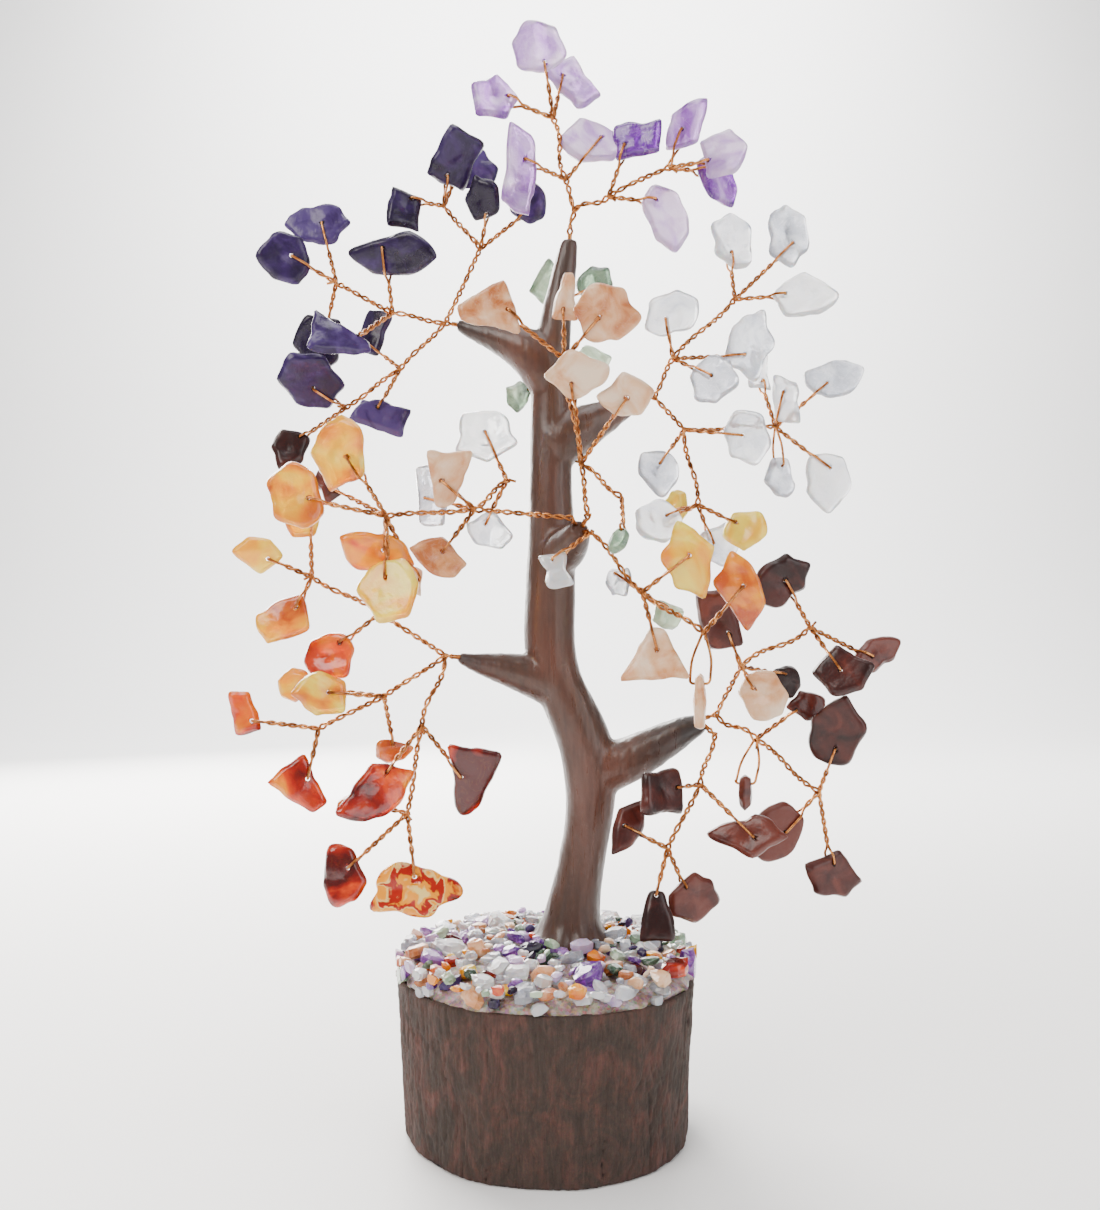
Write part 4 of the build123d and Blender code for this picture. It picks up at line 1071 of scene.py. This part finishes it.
def out_and_back(line, leg, turn_in, through, bore, axis):
    """One wire's path: out along one leg, through the bore, and back along the other, mirrored."""
    turn_out = turn_in[::-1] - 2 * ((turn_in[::-1] - bore) @ axis)[:, None] * axis
    return np.concatenate([line + leg, turn_in, through, turn_out, (line - leg)[::-1]])


def hairpin(fork, bore, axis, thickness, rim):
    """One wire out and back: legs at +-h(s) from its line, twisted where h is least, joined in the bore."""
    run = np.linalg.norm(bore - fork)
    way = (bore - fork) / run
    other = np.cross(way, axis)
    lift = thickness / 2 + WIRE_RADIUS * 0.8
    turned = max(run - rim - 1.8, 0.4)
    half_turns = max(1, round(2 * turned / TWIST_PITCH))
    s = np.linspace(0, run - HAIRPIN_CORNER, int(14 * run / TWIST_PITCH) + 8)
    angle = math.pi * half_turns * np.clip(1 - s / turned, 0, None)
    opening = np.clip((s - turned) / max(run - rim + 0.6 - turned, 0.5), 0, 1)
    opening = opening * opening * (3 - 2 * opening)
    height = LEG_GAP + (lift - LEG_GAP) * opening
    leg = height[:, None] * (np.cos(angle)[:, None] * axis + np.sin(angle)[:, None] * other)
    bend = np.linspace(0, math.pi / 2, 6)[1:]
    turn_in = (bore - HAIRPIN_CORNER * way) + HAIRPIN_CORNER * np.sin(bend)[:, None] * way
    turn_in = turn_in + (lift - HAIRPIN_CORNER * (1 - np.cos(bend)))[:, None] * axis
    through = bore + np.linspace(lift - HAIRPIN_CORNER, HAIRPIN_CORNER - lift, 5)[1:-1, None] * axis
    return tube(out_and_back(fork + s[:, None] * way, leg, turn_in, through, bore, axis), other, WIRE_RADIUS)


def rim_reach(skin_planes, bore, way):
    """How far the chip's rim is from its bore along a direction: the least gap / (n.d) of facets ahead."""
    centre, normals, reaches = skin_planes
    facing = normals @ way
    gap = reaches - normals @ (bore - centre)
    ahead = facing > 0.2
    return np.min(gap[ahead] / facing[ahead], initial=99)


def loose_loop(fork, bore, axis, thickness, rise):
    """A wide eye of wire that a chip swings in: legs at +-h(s), wide where the chip is, and a cross wire."""
    run = np.linalg.norm(bore - fork)
    way = (bore - fork) / run
    wide = thickness / 2 + SWING_ROOM + WIRE_RADIUS
    corner = 0.8
    s = np.linspace(0, run - corner, 26)
    opening = np.clip(s / max(run - rise, 1), 0, 1)
    height = LEG_GAP + (wide - LEG_GAP) * np.sin(opening * math.pi / 2) ** 1.3
    bend = np.linspace(0, math.pi / 2, 8)[1:, None]
    inner = bore - corner * way + (wide - corner) * axis
    turn_in = inner + corner * (np.sin(bend) * way + np.cos(bend) * axis)
    across = bore + np.linspace(wide - corner, corner - wide, 7)[1:-1, None] * axis
    path = out_and_back(fork + s[:, None] * way, height[:, None] * axis, turn_in, across, bore, axis)
    return tube(path, np.cross(way, axis), WIRE_RADIUS)


def loop_round(part, forks, swings):
    """The wire that holds a chip: a close hairpin, or a wide loop from a fork above if the chip swings."""
    bore, axis, thickness = bore_of(*part)
    if swings:
        fork = nearest_fork(forks, bore, lambda arms: arms[:, 2] >= 3)
    else:
        fork = nearest_fork(forks, bore, lambda arms: np.abs(arms @ axis) <= 0.02)
    way = (fork - bore) / np.linalg.norm(fork - bore)
    rim = rim_reach(facet_planes(*part), bore, way)
    if swings:
        return loose_loop(fork, bore, axis, thickness, rim + SWING_ROOM + WIDE_FOR)
    return hairpin(fork, bore, axis, thickness, rim)


for spray in SPRAYS:
    forks = forks_of[spray]
    drops = [body for body, joint in joints.items()
             if body.endswith("_drop") and joint["parent"] == f"{spray}_spray"]
    tubes = [loop_round(parts_of(body)[0], forks, True) for body in drops]
    tubes += [loop_round(part, forks, False) for name, _ in chip_nodes(spray) for part in parts_of(name)]
    piece = join_tubes(f"{spray}_hairpins", tubes, f"{spray}_spray")
    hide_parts(f"{spray}_loops")
    piece.data.materials.append(copper)

# ---- Stage -----------------------------------------------------------------------------------------------
# A plain pale floor that curves up behind, with soft light from in front, from behind and from above, and
# one more light on the wall.


def backdrop():
    """A floor swept up into a wall: a flat, a quarter circle and an upright, drawn out sideways."""
    bend = np.linspace(0, math.pi / 2, 24)
    profile = np.stack([900 + 500 * np.sin(bend), 500 - 500 * np.cos(bend)], axis=-1)
    profile = np.concatenate([[[-900.0, 0.0]], profile, [[1400.0, 2600.0]]])
    across = np.array([-2600.0, 2600.0])
    vertices = np.stack(np.broadcast_arrays(across[None], profile[:, :1], profile[:, 1:]), axis=-1)
    at = np.arange(len(profile) - 1)[:, None] * 2
    quads = np.concatenate([at, at + 1, at + 3, at + 2], axis=1)
    floor = put("floor", bare_mesh("floor", vertices.reshape(-1, 3), quads, ()))
    material, tree, shader = new_material("floor")
    fill(tree, shader, {"Base Color": (0.90, 0.89, 0.88, 1), "Roughness": 0.6})
    floor.data.materials.append(material)


def soft_light(name, place, aim, size, power, colour=(1, 1, 1)):
    """A large square light, turned to a point."""
    data = bpy.data.lights.new(name, "AREA")
    data.shape = "SQUARE"
    data.size = size
    data.energy = power
    data.color = colour
    light = put(name, data)
    light.location = place
    light.rotation_euler = Vector(np.array(aim) - np.array(place)).to_track_quat("-Z", "Y").to_euler()


backdrop()
AIM = (0, 0, 0.12)
soft_light("key", (-0.45, -0.5, 0.62), AIM, 0.5, 5.5, (1.0, 0.96, 0.91))
soft_light("fill", (0.6, -0.45, 0.35), AIM, 0.6, 3.0)
soft_light("back", (-0.35, 0.6, 0.45), AIM, 0.6, 18.0, (1.0, 0.97, 0.93))
soft_light("top", (0, 0, 0.95), AIM, 0.6, 5.0)
soft_light("wall", (0, 0.8, 0.95), (0, 1.4, 0.45), 1.2, 42.0)
world = bpy.data.worlds.new("studio")
world.use_nodes = True
fill(world.node_tree, world.node_tree.nodes["Background"], {"Color": (0.90, 0.90, 0.92, 1), "Strength": 0.48})
bpy.context.scene.world = world

camera_data = bpy.data.cameras.new("camera")
camera_data.lens = 31.5
camera_data.sensor_width = 36
camera_data.shift_y = 0.029
camera = put("camera", camera_data)
camera.location = (0.0007, -0.250, 0.114)
camera.rotation_euler = (math.radians(90), 0, 0)
bpy.context.scene.camera = camera
